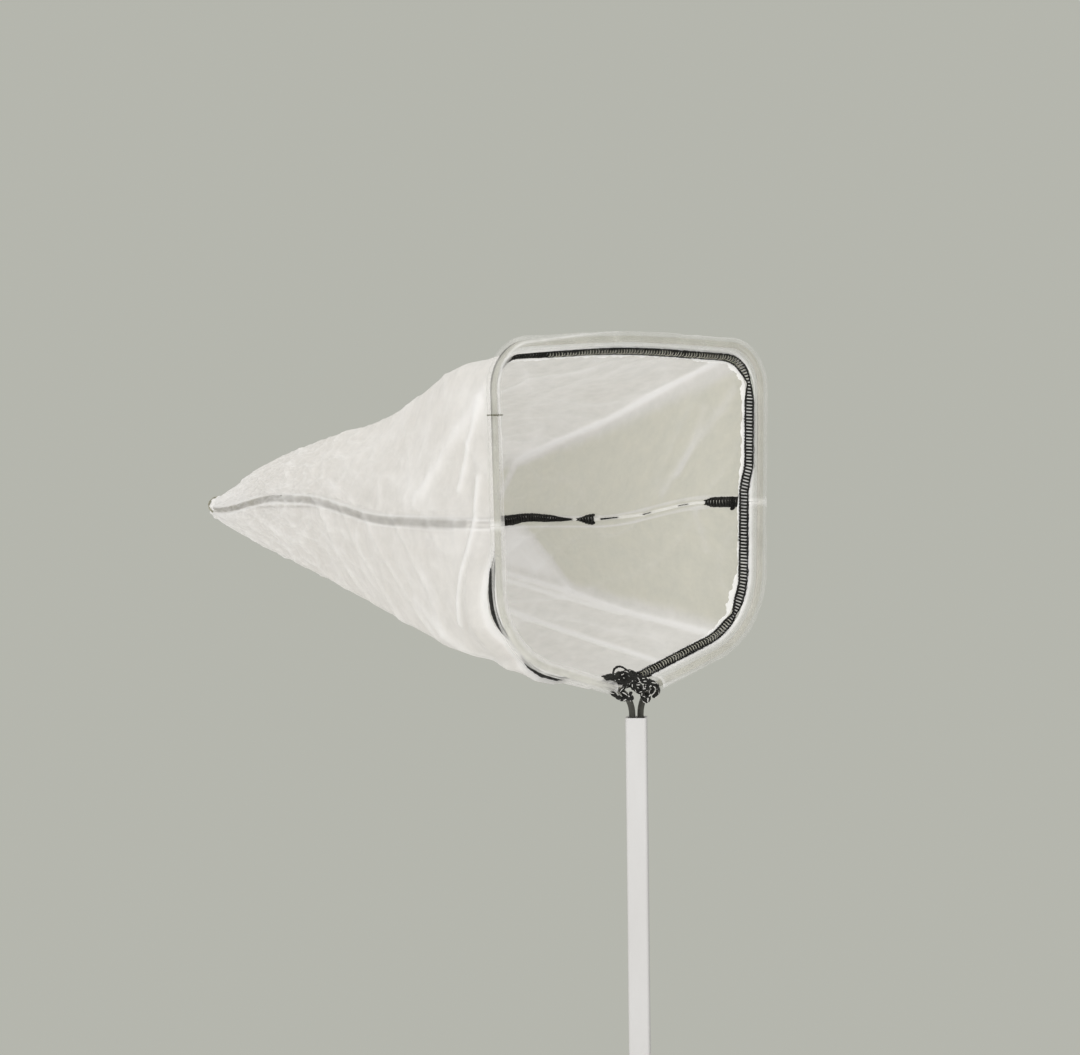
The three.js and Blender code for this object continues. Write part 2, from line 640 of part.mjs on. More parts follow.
// Tie knot: an overhand knot whose two ends leave to the left
function tieKnot() {
  const middle = tieEnd(KNOT_OFFSET, TIE_DIAMETER + FIT + KNOT_DEPTH, tieTop + KNOT_RISE);
  const loop = Array.from({ length: TIE_STEPS + 1 }, (_, i) => {
    const turn = Math.PI + KNOT_OPEN + (2 * (Math.PI - KNOT_OPEN) * i) / TIE_STEPS;
    const x = KNOT_SIZE * (Math.cos(turn) - 2 * Math.cos(2 * turn));
    const z = KNOT_SIZE * (Math.sin(turn) + 2 * Math.sin(2 * turn));
    return new THREE.Vector3(x, -KNOT_DEPTH * Math.sin(3 * turn), z).add(middle);
  });
  const end = (from) => from.clone().add(new THREE.Vector3(-KNOT_END, 0, 0));
  return cord('tie_knot', [end(loop[0]), ...loop, end(loop.at(-1))], 2 * TIE_STEPS);
}

addPart(group, 'neck_tie', neckTie(), ...BLACK_THREAD);
addPart(group, 'tie_knot', tieKnot(), ...BLACK_THREAD);

export default group;
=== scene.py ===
# %% [markdown]
# # A pond net, dressed in Blender
# The net is a square white handle, a bent steel hoop and a long pointed bag of sheer white mesh, sewn
# round the hoop with black overlock thread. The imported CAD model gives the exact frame. This lesson
# keeps its hard pieces and puts real cloth and thread where its soft solids are.

# %% Load the frame
import math

import bpy
import numpy as np
from mathutils import Matrix, Vector


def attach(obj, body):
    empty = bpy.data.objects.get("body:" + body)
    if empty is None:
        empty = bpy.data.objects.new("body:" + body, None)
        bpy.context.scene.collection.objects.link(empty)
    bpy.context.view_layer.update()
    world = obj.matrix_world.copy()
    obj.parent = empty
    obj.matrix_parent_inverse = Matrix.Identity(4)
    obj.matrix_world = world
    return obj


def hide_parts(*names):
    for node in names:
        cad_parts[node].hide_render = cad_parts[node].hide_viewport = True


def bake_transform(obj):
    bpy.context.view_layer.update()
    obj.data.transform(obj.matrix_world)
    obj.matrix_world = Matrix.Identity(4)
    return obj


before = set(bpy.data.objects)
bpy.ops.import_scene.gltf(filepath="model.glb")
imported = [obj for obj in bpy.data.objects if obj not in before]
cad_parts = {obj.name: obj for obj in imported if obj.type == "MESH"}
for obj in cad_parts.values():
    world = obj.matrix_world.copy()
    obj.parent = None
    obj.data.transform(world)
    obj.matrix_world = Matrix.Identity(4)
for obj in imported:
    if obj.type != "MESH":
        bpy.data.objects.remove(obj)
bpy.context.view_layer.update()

# %% [markdown]
# ## Helpers
# Every piece is a new object and every look is a tree of nodes. So the first helpers put an object into the
# scene and add a node, and the others are the few sums that a finish needs.

# %% Objects and nodes
NODE_FAMILIES = ("ShaderNode", "GeometryNode", "FunctionNode", "")


def put(name, data):
    made = bpy.data.objects.new(name, data)
    bpy.context.scene.collection.objects.link(made)
    return made


def add(kind, inputs={}, tree=None, **settings):
    """A new node in its inputs' tree. An input is a value, an output, or a node for its first output."""
    tree = tree or next(value.id_data for value in inputs.values() if hasattr(value, "id_data"))
    made = tree.nodes.new(next(f + kind for f in NODE_FAMILIES if hasattr(bpy.types, f + kind)))
    for key, value in settings.items():
        setattr(made, key, value)
    for key, value in inputs.items():
        value = value.outputs[0] if isinstance(value, bpy.types.Node) else value
        if isinstance(value, bpy.types.NodeSocket):
            tree.links.new(value, made.inputs[key])
        else:
            made.inputs[key].default_value = value
    return made


def math_node(operation, *values):
    return add("Math", dict(enumerate(values)), operation=operation)


def times(a, b):
    return math_node("MULTIPLY", a, b)


def dot(a, b):
    return add("VectorMath", {0: a, 1: b}, operation="DOT_PRODUCT").outputs["Value"]


def spread(value, low, high, smooth=False, source=(0, 1)):
    """A value moved from one range to another."""
    return add("MapRange", {"Value": value, "From Min": source[0], "From Max": source[1], "To Min": low,
                            "To Max": high}, interpolation_type="SMOOTHSTEP" if smooth else "LINEAR")


print("helpers made for objects and nodes")

# %% Colours, grain and finishes
def ramp(value, low, high, dark, light):
    """A colour that goes from dark to light as a value goes from low to high."""
    made = add("ValToRGB", {"Fac": value})
    for stop, position, colour in zip(made.color_ramp.elements, (low, high), (dark, light)):
        stop.position, stop.color = position, (*colour, 1)
    return made


def mixed(share, colour, other):
    return add("Mix", {0: share, 6: colour, 7: (*other, 1)}, data_type="RGBA").outputs[2]


def grain(place, scale, detail=3, stretch=None):
    """Noise in a piece's own coordinates, drawn out along an axis if asked."""
    if stretch:
        place = add("Mapping", {"Vector": place, "Scale": stretch})
    return add("TexNoise", {"Vector": place, "Scale": scale, "Detail": detail})


def bump(height, strength, distance=0.0002):
    return add("Bump", {"Height": height, "Strength": strength, "Distance": distance})


def new_finish(name):
    """An empty material and its Object coordinates."""
    material = bpy.data.materials.new(name)
    material.use_nodes = True
    material.node_tree.nodes.clear()
    return material, add("TexCoord", tree=material.node_tree).outputs["Object"]


def glazed(material, inputs):
    """Ends a finish with one Principled shader."""
    add("OutputMaterial", {"Surface": add("BsdfPrincipled", inputs)})
    return material


print("helpers made for colours, grain and finishes")

# %% [markdown]
# ## Camera
# The photograph was taken from the left of the mouth, about as high as the hoop, with a long lens. A fit
# of the handle, the hoop and the toe gave the camera's place, and a small roll that levels the hoop.

# %% Camera
AZIMUTH, ELEVATION, ROLL = (math.radians(degrees) for degrees in (-40, 2.6, -0.7))
CAMERA_DISTANCE, CAMERA_SIDE, CAMERA_HEIGHT = 2.198, -0.0798, 0.7619
SENSOR, LENS, FAR_CLIP = 36, 36 * 2600 / 1080, 50


def place_camera():
    """A camera that is turned round the handle's line, tilted and rolled, and stands back from its target."""
    lens = bpy.data.cameras.new("camera")
    lens.sensor_fit = "HORIZONTAL"
    lens.sensor_width, lens.lens, lens.clip_end = SENSOR, LENS, FAR_CLIP
    camera = put("camera", lens)
    target = Matrix.Rotation(AZIMUTH, 4, "Z") @ Matrix.Translation((CAMERA_SIDE, 0, CAMERA_HEIGHT))
    tilt = Matrix.Rotation(math.pi / 2 - ELEVATION, 4, "X") @ Matrix.Rotation(ROLL, 4, "Z")
    camera.matrix_world = target @ tilt @ Matrix.Translation((0, 0, CAMERA_DISTANCE))
    bpy.context.scene.camera = camera
    return camera


camera = place_camera()
bpy.context.scene.view_settings.view_transform = "Standard"
print("camera at", [round(x, 3) for x in camera.location])

# %% [markdown]
# ## Light
# The photograph has a plain grey-green wall and very soft daylight. The world shows that grey to the
# camera and to reflections, and lights everything else with a soft white that is strongest from the front
# left. One wide lamp from there gives the bag its shape, and two weaker ones keep the roof and the right
# side open. No lamp shows in reflections.

# %% World and lamps
WALL_GREY = (0.462, 0.468, 0.420, 1)
SOFT_WHITE = (1.0, 0.995, 0.98, 1)
AMBIENT, BRIGHT_SIDE = (0.40, 0.90), (-0.85, -0.45, -0.25)
LAMPS = {"key_lamp": ((-2.3, -1.2, 1.1), (-0.03, 0.2, 0.76), 1.6, 38),
         "top_lamp": ((0.1, 0.35, 2.6), (0, 0.2, 0.8), 1.4, 11),
         "fill_lamp": ((0.6, -2.2, 1.5), (0, 0.1, 0.7), 1.4, 7)}


def make_world():
    world = bpy.data.worlds.new("soft_studio")
    bpy.context.scene.world = world
    world.use_nodes = True
    tree = world.node_tree
    tree.nodes.clear()
    path = add("LightPath", tree=tree).outputs
    seen = math_node("MAXIMUM", path["Is Camera Ray"], path["Is Glossy Ray"])
    facing = dot(add("TexCoord", tree=tree).outputs["Generated"], BRIGHT_SIDE)
    strength = spread(facing, *AMBIENT, source=(-1, 1))
    light = add("Background", {"Color": SOFT_WHITE, "Strength": strength})
    wall = add("Background", {"Color": WALL_GREY, "Strength": 1.0}, tree)
    add("OutputWorld", {"Surface": add("MixShader", {0: seen, 1: light, 2: wall})})


def lamp(name, place, target, size, watts):
    data = bpy.data.lights.new(name, "AREA")
    data.shape, data.size, data.energy = "DISK", size, watts
    made = put(name, data)
    made.location = place
    made.rotation_euler = (Vector(target) - Vector(place)).to_track_quat("-Z", "Y").to_euler()
    made.visible_glossy = False


make_world()
for lamp_name, settings in LAMPS.items():
    lamp(lamp_name, *settings)
print("world and lamps made:", sorted(LAMPS))

# %% [markdown]
# ## Hard finishes
# The handle is a satin white coat with faint marks, a fine skin, and a painted shade along its corners that
# is broken up like wear; the plug and cap are plainer moulded plastic; the wire is bright drawn steel, with
# painted shade that darkens its legs at the neck and its outer side at the upper left, and painted light that
# makes it a little lighter along its lower sides. All of them read Object coordinates, so they stay put on
# the piece.

# %% Handle coat and plastic
HANDLE_WHITES = (0.545, 0.534, 0.524), (0.585, 0.577, 0.570)
# Tan painted along the handle's corners as shade.
PAINTED_EDGE_SHADE = (0.36, 0.33, 0.25)
PLASTIC_WHITES = (0.60, 0.585, 0.55), (0.67, 0.655, 0.625)


def handle_coat():
    material, place = new_finish("handle_coat")
    marks = grain(place, 26, 5, (1, 1, 0.25))
    axes = add("SeparateXYZ", {"Vector": place}).outputs
    side = math_node("MAXIMUM", *(math_node("ABSOLUTE", axes[axis]) for axis in "XY"))
    # Painted shade: the corners darken towards a tan, broken up by noise.
    edge = spread(side, 0, 1, True, (0.0116, 0.0124))
    shade_breakup = spread(grain(place, 70, 4, (1, 1, 0.4)), 0.55, 1, True, (0.4, 0.66))
    edge_darkening = times(times(edge, shade_breakup), 0.9)
    return glazed(material, {
        "Base Color": mixed(edge_darkening, ramp(marks, 0.3, 0.7, *HANDLE_WHITES), PAINTED_EDGE_SHADE),
        "Roughness": spread(marks, 0.36, 0.5), "Specular IOR Level": 0.4,
        "Normal": bump(grain(place, 900, 2), 0.12)})


def white_plastic():
    material, place = new_finish("white_plastic")
    cloud = grain(place, 60, 4)
    return glazed(material, {
        "Base Color": ramp(cloud, 0.3, 0.7, *PLASTIC_WHITES),
        "Roughness": spread(cloud, 0.45, 0.6),
        "Normal": bump(grain(place, 1500, 2), 0.2)})


HARD_FINISHES = {"handle_tube": handle_coat()}
HARD_FINISHES["handle_end_cap"] = HARD_FINISHES["handle_top_plug"] = white_plastic()
print("finishes made for", sorted(HARD_FINISHES))

# %% Wire steel
STEEL_GREYS = (0.05, 0.049, 0.045), (0.98, 0.965, 0.90)
# Direction faced by the wire's painted shade, on its outer side at the upper left.
PAINTED_SHADE_SIDE = (-0.62, 0.52, 0.58)


def wire_steel():
    material, place = new_finish("wire_steel")
    patches = grain(place, 45, 5)
    axes = add("SeparateXYZ", {"Vector": place}).outputs
    # Painted shade: the wire darker where it faces out at the upper left of the hoop.
    shade_facing = dot(add("NewGeometry", tree=material.node_tree).outputs["Normal"], PAINTED_SHADE_SIDE)
    upper_left = times(spread(axes["Z"], 0, 1, True, (0.79, 0.87)),
                       spread(axes["X"], 1, 0, True, (-0.135, -0.105)))
    painted_shade = times(upper_left, spread(shade_facing, 0, 0.75, True, (0.2, 0.8)))
    painted_light_and_patches = math_node("SUBTRACT", 1.0, painted_shade)
    # Painted light and shade by height: the wire a little lighter along its lower sides and much darker on
    # its bare legs at the neck; then random patches of tone.
    for share in (spread(axes["Z"], 0.90, 0.84, True, (0.67, 0.73)),
                  spread(axes["Z"], 0.13, 1, True, (0.612, 0.634)),
                  spread(patches, 0.92, 1.06, source=(0.3, 0.72))):
        painted_light_and_patches = times(painted_light_and_patches, share)
    return glazed(material, {
        "Base Color": ramp(painted_light_and_patches, 0, 1, *STEEL_GREYS), "Metallic": 1.0,
        "Roughness": spread(patches, 0.62, 0.5),
        "Normal": bump(grain(place, 1600, 2), 0.15)})


HARD_FINISHES["hoop_wire"] = wire_steel()
for node_name, finish in HARD_FINISHES.items():
    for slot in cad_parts[node_name].material_slots:
        slot.material = finish
print("finished CAD nodes:", sorted(HARD_FINISHES))

# %% [markdown]
# ## Floor
# A pale disc lies at the handle's end, small enough to stay out of the photograph's frame.

# %% Floor
FLOOR_RADIUS, FLOOR_MIDDLE, FLOOR_LEVEL, FLOOR_SIDES = 1.1, 0.15, -0.0005, 96
FLOOR_GREYS = (0.60, 0.60, 0.565), (0.64, 0.64, 0.605)


def make_floor():
    material, place = new_finish("pale_floor")
    glazed(material, {"Base Color": ramp(grain(place, 9, 4), 0.3, 0.7, *FLOOR_GREYS), "Roughness": 0.9})
    rim = [(FLOOR_RADIUS * math.cos(a), FLOOR_MIDDLE + FLOOR_RADIUS * math.sin(a), FLOOR_LEVEL)
           for a in np.linspace(0, 2 * math.pi, FLOOR_SIDES, endpoint=False)]
    mesh = bpy.data.meshes.new("floor")
    mesh.from_pydata(rim, [], [range(len(rim))])
    mesh.materials.append(material)
    put("floor", mesh)


make_floor()
print("floor made")

# %% [markdown]
# ## Cloth finishes
# The bag is a crisp sheer mesh: one layer lets about a third of the light straight through, and the rest
# either comes back or glows through from behind. So the finish mixes a Transparent shader with a
# Principled and a Translucent one. Its weave reads a UV map measured in metres along the threads, and an
# attribute named dense makes creases, folded edges and the gathered toe whiter, as doubled cloth is, and
# makes stretched cloth thinner, with a darker olive painted on it as shade.

# %% Cloth finish
MESH_PITCH = 0.0008
# The darker olive that cloth takes where dense is below zero: painted shade.
THIN_SHADE_COLOUR = (0.79, 0.76, 0.645)


def sheer_mesh(name, low, high, dense_colour, cover, glow):
    material, _ = new_finish(name)
    tree = material.node_tree
    uv = add("UVMap", tree=tree, uv_map="Cloth")
    axes = add("SeparateXYZ", {"Vector": uv}).outputs
    waves = (math_node("SINE", times(axes[axis], math.pi / MESH_PITCH)) for axis in "XY")
    weave = math_node("MAXIMUM", *(math_node("ABSOLUTE", wave) for wave in waves))
    slubs, cloud = grain(uv, 60, 4), grain(uv, 14, 3)
    dense = add("Attribute", tree=tree, attribute_name="dense").outputs["Fac"]
    open_share = math_node("ADD", spread(weave, -0.14, 0.08), spread(slubs, -0.08, 0.08, source=(0.3, 0.7)))
    alpha = math_node("ADD", open_share, math_node("ADD", dense, cover))
    alpha = add("Clamp", {"Value": alpha, "Min": 0.05, "Max": 0.97})
    colour = ramp(cloud, 0.3, 0.7, low, high)
    colour = mixed(spread(dense, 0, 1, source=(0, 0.3)), colour, dense_colour)
    # A darker olive painted as shade where dense is below zero.
    colour = mixed(spread(dense, 0, 1, True, (0, -0.2)), colour, THIN_SHADE_COLOUR)
    shader = add("BsdfPrincipled", {
        "Base Color": colour, "Roughness": spread(slubs, 0.55, 0.75), "Sheen Weight": 0.25,
        "Sheen Roughness": 0.4, "Specular IOR Level": 0.25, "Normal": bump(weave, 0.25, 0.0001)})
    through = add("BsdfTranslucent", {"Color": colour})
    cloth = add("MixShader", {0: glow, 1: shader, 2: through})
    veil = add("MixShader", {0: alpha, 1: add("BsdfTransparent", tree=tree), 2: cloth})
    add("OutputMaterial", {"Surface": veil})
    return material


BAG_MESH = sheer_mesh("bag_mesh", (0.83, 0.805, 0.765), (0.88, 0.86, 0.83), (0.97, 0.96, 0.945), 0.70, 0.5)
HEM_MESH = sheer_mesh("hem_mesh", (0.80, 0.785, 0.745), (0.86, 0.85, 0.82), (0.98, 0.975, 0.96), 0.15, 0.35)
print("cloth finishes made")

# %% Thread finish
def thread_finish(name, dark, light):
    material, place = new_finish(name)
    fibres, tone = grain(place, 1400, 3), grain(place, 160, 3)
    return glazed(material, {
        "Base Color": ramp(tone, 0.35, 0.7, dark, light), "Roughness": spread(fibres, 0.65, 0.9),
        "Sheen Weight": 0.06, "Sheen Roughness": 0.5, "Specular IOR Level": 0.3,
        "Normal": bump(fibres, 0.5)})


BLACK_THREAD = thread_finish("black_thread", (0.006, 0.006, 0.005), (0.022, 0.022, 0.019))
OLIVE_THREAD = thread_finish("olive_thread", (0.070, 0.066, 0.034), (0.120, 0.114, 0.066))
# A lighter grey-olive thread, used for the curl at the toe.
GREY_OLIVE_THREAD = thread_finish("grey_olive_thread", (0.26, 0.25, 0.19), (0.40, 0.39, 0.31))
PALE_THREAD = thread_finish("pale_thread", (0.36, 0.35, 0.28), (0.54, 0.53, 0.45))
WHITE_THREAD = thread_finish("white_thread", (0.62, 0.61, 0.57), (0.80, 0.79, 0.76))
print("thread finishes made")

# %% [markdown]
# ## The hoop's line
# Everything sewn to the net follows the hoop, so its centreline comes next: straight runs between corners
# with a bend at each, from the same sizes as the CAD. The helper gives even stations along it, with the
# direction of travel, and the inward side is always a quarter turn to the right of that.

# %% Sizes of the hoop, in metres
HANDLE_TOP = 0.600
LEG_OFFSET, NECK_HEIGHT, NECK_BEND = 0.0047, 0.020, 0.024
LOWER_WIDTH, LOWER_HEIGHT, LOWER_BEND = 0.294, 0.064, 0.074
UPPER_WIDTH, UPPER_HEIGHT, UPPER_BEND = 0.304, 0.314, 0.037
CROWN_RISE, CROWN_BEND = 0.0074, 1.0
APEX_BEND = 0.024
SEAM_LEVEL, LEFT_SEAM_DROP = HANDLE_TOP + 0.178, 0.010


def corner(x, height, bend=0.0):
    return np.array([x, HANDLE_TOP + height, bend])


SIDES = LEFT, RIGHT = -1, 1
LOWER = {side: corner(side * LOWER_WIDTH / 2, LOWER_HEIGHT, LOWER_BEND) for side in SIDES}
UPPER = {side: corner(side * UPPER_WIDTH / 2, UPPER_HEIGHT, UPPER_BEND) for side in SIDES}
NECK = {side: corner(side * LEG_OFFSET, NECK_HEIGHT, NECK_BEND) for side in SIDES}


def seam_point(side):
    """Where a side seam meets the hoop."""
    low, high = LOWER[side], UPPER[side]
    level = SEAM_LEVEL - (LEFT_SEAM_DROP if side < 0 else 0)
    share = (level - low[1]) / (high[1] - low[1])
    return np.array([*(low + (high - low) * share)[:2], 0])


CROWN = corner(0, UPPER_HEIGHT + CROWN_RISE, CROWN_BEND)
lower_run = (LOWER[RIGHT] - NECK[RIGHT])[:2]
LOWER_SLOPE = math.atan2(lower_run[1], lower_run[0])
APEX = corner(0, NECK_HEIGHT - LEG_OFFSET * math.tan(LOWER_SLOPE), APEX_BEND)
NECK_RUN = NECK_BEND * math.tan((math.pi / 2 - LOWER_SLOPE) / 2)


def lower_point(side, start, along):
    """A point so far up a lower side of the hoop from a corner at its foot."""
    run = np.array([side * math.cos(LOWER_SLOPE), math.sin(LOWER_SLOPE), 0])
    return np.array([*start[:2], 0]) + run * along


print("the lower sides rise at", round(math.degrees(LOWER_SLOPE), 1), "degrees")

# %% Stations along the hoop
BEND_STEPS = 40


def run_of(line):
    """The way along a line to each of its points."""
    return np.concatenate([[0], np.cumsum(np.linalg.norm(np.diff(line, axis=0), axis=1))])


def even(line, step):
    """The points of a line moved to even steps along it."""
    line = np.asarray(line)
    run = run_of(line)
    at = np.linspace(0, run[-1], max(2, int(round(run[-1] / step)) + 1))
    return np.stack([np.interp(at, run, line[:, k]) for k in range(line.shape[1])], axis=1)


def tangents(points):
    made = np.gradient(points, axis=0)
    return made / np.linalg.norm(made, axis=1)[:, None]


def bend_path(corners, step):
    """Even stations (x, z) along straight runs with rounded corners, and the direction at each."""
    line = [corners[0][:2]]
    for before, here, after in zip(corners, corners[1:], corners[2:]):
        first, second = here[:2] - before[:2], after[:2] - here[:2]
        room = min(np.linalg.norm(first) / (2 if before[2] > 0 else 1),
                   np.linalg.norm(second) / (2 if after[2] > 0 else 1))
        first, second = first / np.linalg.norm(first), second / np.linalg.norm(second)
        turn = math.atan2(first[0] * second[1] - first[1] * second[0], first @ second)
        slope = math.tan(abs(turn) / 2)
        bend = min(here[2], room / slope)
        start = here[:2] - first * bend * slope
        spoke = np.array([first[1], -first[0]]) * bend * np.sign(turn)
        for angle in np.linspace(0, turn, BEND_STEPS):
            c, s = math.cos(angle), math.sin(angle)
            line.append(start - spoke + np.array([c * spoke[0] - s * spoke[1], s * spoke[0] + c * spoke[1]]))
    line.append(corners[-1][:2])
    points = even(line, step)
    return points, tangents(points)


def inward(directions):
    return np.stack([directions[:, 1], -directions[:, 0]], axis=1)


TOP_CORNERS = [UPPER[LEFT], CROWN, UPPER[RIGHT]]
RUNS = {"upper": [seam_point(LEFT), *TOP_CORNERS, seam_point(RIGHT)],
        "lower": [seam_point(RIGHT), LOWER[RIGHT], APEX, LOWER[LEFT], seam_point(LEFT)]}
for run_name, corners in RUNS.items():
    stations, _ = bend_path(corners, 0.002)
    ends = [edge(axis=0).round(4) for edge in (stations.min, stations.max)]
    print(run_name, "run of the hoop, corners of its box:", *ends)

# %% [markdown]
# ## The tail of the hem
# The sleeve round the wire draws in to a flat tail, and the overlock band and the bag hang on that tail. It
# points inwards and back at half a right angle. Low on the left the bag pulls it straight back and at two
# places past that, so that the black band shows outside the hoop there and not inside it. High on the right
# the band lies nearer to the wire, and it is pinched at both right corners. Places round the mouth are in
# degrees from the right side seam.

# %% Tail
TAIL_ANGLE = 45
PULLED_PLACES = [187, 193, 198, 204, 210, 214, 217, 220, 226, 231, 236, 242, 247, 258, 267]
PULLED_ANGLES = [45, 60, 74, 82, 85, 82, 75, 66, 70, 94, 107, 104, 90, 86, 45]
BAND_PLACES = [-180, -165, -155, -140, -131, -116, -108, -43, -38, -33,
               4, 12, 30, 35, 40, 48, 95, 120, 136, 180]
BAND_SHIFTS = [0, 0, -0.0015, -0.0015, 0.0030, 0.0030, 0, 0, -0.0010, 0,
               0, -0.0043, -0.0043, -0.0040, -0.0020, 0, 0, 0.0006, 0.0014, 0]
BAND_WIDTHS = [1, 0.9, 0.75, 0.75, 0.75, 0.75, 1, 1, 0.4, 1, 1, 1, 1, 0.35, 0.9, 1.1, 1, 0.8, 0.35, 0.4]
HEM_TAIL = 0.010
SEAM_GAP, MOUTH_SEAM_WIDTH = 0.0003, 0.0075
PANEL_THICKNESS, PANEL_LAP, PULLED_LAP = 0.0012, 0.002, 0.0056
LAP_ALONG, LAP_BEHIND = HEM_TAIL + SEAM_GAP + PANEL_LAP, 0.0009 + SEAM_GAP
LAP_PULL = (55, 85)


def step_up(low, high, value):
    t = np.clip((value - low) / (high - low), 0, 1)
    return t * t * (3 - 2 * t)


def polar(points):
    """The place of stations (x, z) round the mouth."""
    return np.degrees(np.arctan2(points[:, 1] - SEAM_LEVEL, points[:, 0]))


def tail_angle(points):
    """The tail's angle back from the hoop's plane."""
    return np.radians(np.interp(polar(points) % 360, PULLED_PLACES, PULLED_ANGLES))


def pulled_back(points, degrees):
    """How far the tail is pulled back, from 0 to 1 between two angles."""
    return step_up(math.radians(degrees[0]), math.radians(degrees[1]), tail_angle(points))


def band_shift(points):
    """How far the band lies from its even run along the tail."""
    return np.interp(polar(points), BAND_PLACES, BAND_SHIFTS)


def tail_place(points, directions, along, behind):
    """Places in the frame, so far along the tail and so far behind it, at each station."""
    angle = tail_angle(points)
    inn = along * np.cos(angle) - behind * np.sin(angle)
    back = along * np.sin(angle) + behind * np.cos(angle)
    flat = points + inward(directions) * inn[:, None]
    return np.stack([flat[:, 0], back, flat[:, 1]], axis=1)


def panel_edge(points, directions):
    """Where the bag's edge is sewn: on the band, or past it where the tail is pulled back."""
    return tail_place(points, directions, LAP_ALONG + PULLED_LAP * pulled_back(points, LAP_PULL), LAP_BEHIND)


print("tail angles from", min(PULLED_ANGLES), "to", max(PULLED_ANGLES), "degrees")

# %% [markdown]
# ## The bag's shape
# Two panels of mesh are sewn together along the left and right sides. Behind the hoop the section starts as
# the hoop's own outline and shrinks to the toe. Because the panels are flat cloth, the section doesn't stay
# round: creases run from the hoop's four corners down towards the side seams, and the cloth lies nearly
# flat between them. So the rule of the CAD gives a smooth wall, chords between the creases flatten it,
# and small folds and crinkles are laid on top.

# %% Smooth wall
BAG_LENGTH, BAG_LEAN, BAG_DROP = 0.532, 0.060, 0.010
BAG_BELLY, BAG_CROWN = 0.036, 0.014
BAG_FULLNESS, BAG_ROUNDING = 0.85, 0.85
SLACK_FALL = 2.5
TOE_HEIGHT = 0.022
PANEL_INSET = (LAP_ALONG - LAP_BEHIND) * math.cos(math.radians(TAIL_ANGLE))
BAG_FRONT = (LAP_ALONG + LAP_BEHIND) * math.sin(math.radians(TAIL_ANGLE))
OVAL_WIDTH = UPPER_WIDTH / 2 - PANEL_INSET
OVAL_HEIGHT = (UPPER_HEIGHT + CROWN_RISE - NECK_HEIGHT) / 2 - PANEL_INSET
TOE_SCALE = TOE_HEIGHT / 2 / OVAL_HEIGHT


def spokes(points, directions):
    """Angle and length of the line from the middle of the mouth to the bag's edge, at each station."""
    edge = points + inward(directions) * (PANEL_INSET - PANEL_THICKNESS) - np.array([0, SEAM_LEVEL])
    return np.arctan2(edge[:, 1], edge[:, 0]), np.linalg.norm(edge, axis=1)


mouth_spokes = [spokes(*bend_path(corners, 0.001)) for corners in RUNS.values()]
mouth_angle, mouth_reach = (np.concatenate(part) for part in zip(*mouth_spokes))
order = np.argsort(mouth_angle)
mouth_angle, mouth_reach = mouth_angle[order], mouth_reach[order]


def slack(share):
    peak = 1 / (1 + 2 * SLACK_FALL)
    return np.sqrt(share) * (1 - share) ** SLACK_FALL / (math.sqrt(peak) * (1 - peak) ** SLACK_FALL)


def smooth_reach(angle, share):
    """Distance from the bag's middle line to its smooth wall."""
    angle = (angle + np.pi) % (2 * np.pi) - np.pi
    spoke = np.interp(angle, mouth_angle, mouth_reach, period=2 * np.pi)
    oval = OVAL_WIDTH * OVAL_HEIGHT / np.hypot(OVAL_HEIGHT * np.cos(angle), OVAL_WIDTH * np.sin(angle))
    scale = TOE_SCALE + (1 - TOE_SCALE) * (1 - share) ** BAG_FULLNESS
    sine = np.sin(angle)
    swell = np.where(sine > 0, BAG_CROWN, BAG_BELLY) * np.abs(sine) * (1 - sine ** 4 / 2) * slack(share)
    return (spoke + (oval - spoke) * BAG_ROUNDING * share) * scale + swell


print("mouth reaches from", mouth_reach.min().round(4), "to", mouth_reach.max().round(4))

# %% Creases of the section
CREASE_ANGLE = [(43, 15), (138, 125), (160, 165), (200, 195), (222, 238), (270, 270), (316, 346)]
FLAT_RATIO, TOE_FLAT_RATIO = 0.85, 0.34
FLAT_SHARE, ROUND_SHARE = 0.15, (0.55, 0.95)
CREASE_SOFTNESS = 1.6
SECTION_STEPS = 720


def flatness(share):
    """How flat the cloth lies between its creases: not at all at the mouth, and less again at the toe."""
    ratio = FLAT_RATIO + (TOE_FLAT_RATIO - FLAT_RATIO) * step_up(*ROUND_SHARE, share)
    return ratio * step_up(0, FLAT_SHARE, share)


def section(share):
    """The bag's reach at even angles at one share of its length, flattened between its creases."""
    angle = np.linspace(0, 2 * np.pi, SECTION_STEPS, endpoint=False)
    reach = smooth_reach(angle, share)
    creases = np.radians([mouth + (toe - mouth) * share for mouth, toe in CREASE_ANGLE])
    creases = np.array([creases[-1] - 2 * np.pi, *creases, creases[0] + 2 * np.pi])
    chord = reach.copy()
    for first, last in zip(creases, creases[1:]):
        inside = (angle >= first) & (angle < last)
        r1, r2 = smooth_reach(np.array([first, last]), share)
        chord[inside] = r1 * r2 * math.sin(last - first) / (
            r1 * np.sin(angle[inside] - first) + r2 * np.sin(last - angle[inside]))
    waves = np.fft.rfft(reach + (chord - reach) * flatness(share))
    softness = math.radians(CREASE_SOFTNESS) * np.arange(len(waves))
    return np.fft.irfft(waves * np.exp(-softness ** 2 / 2), SECTION_STEPS)


print("section halfway reaches", section(0.5).max().round(4))

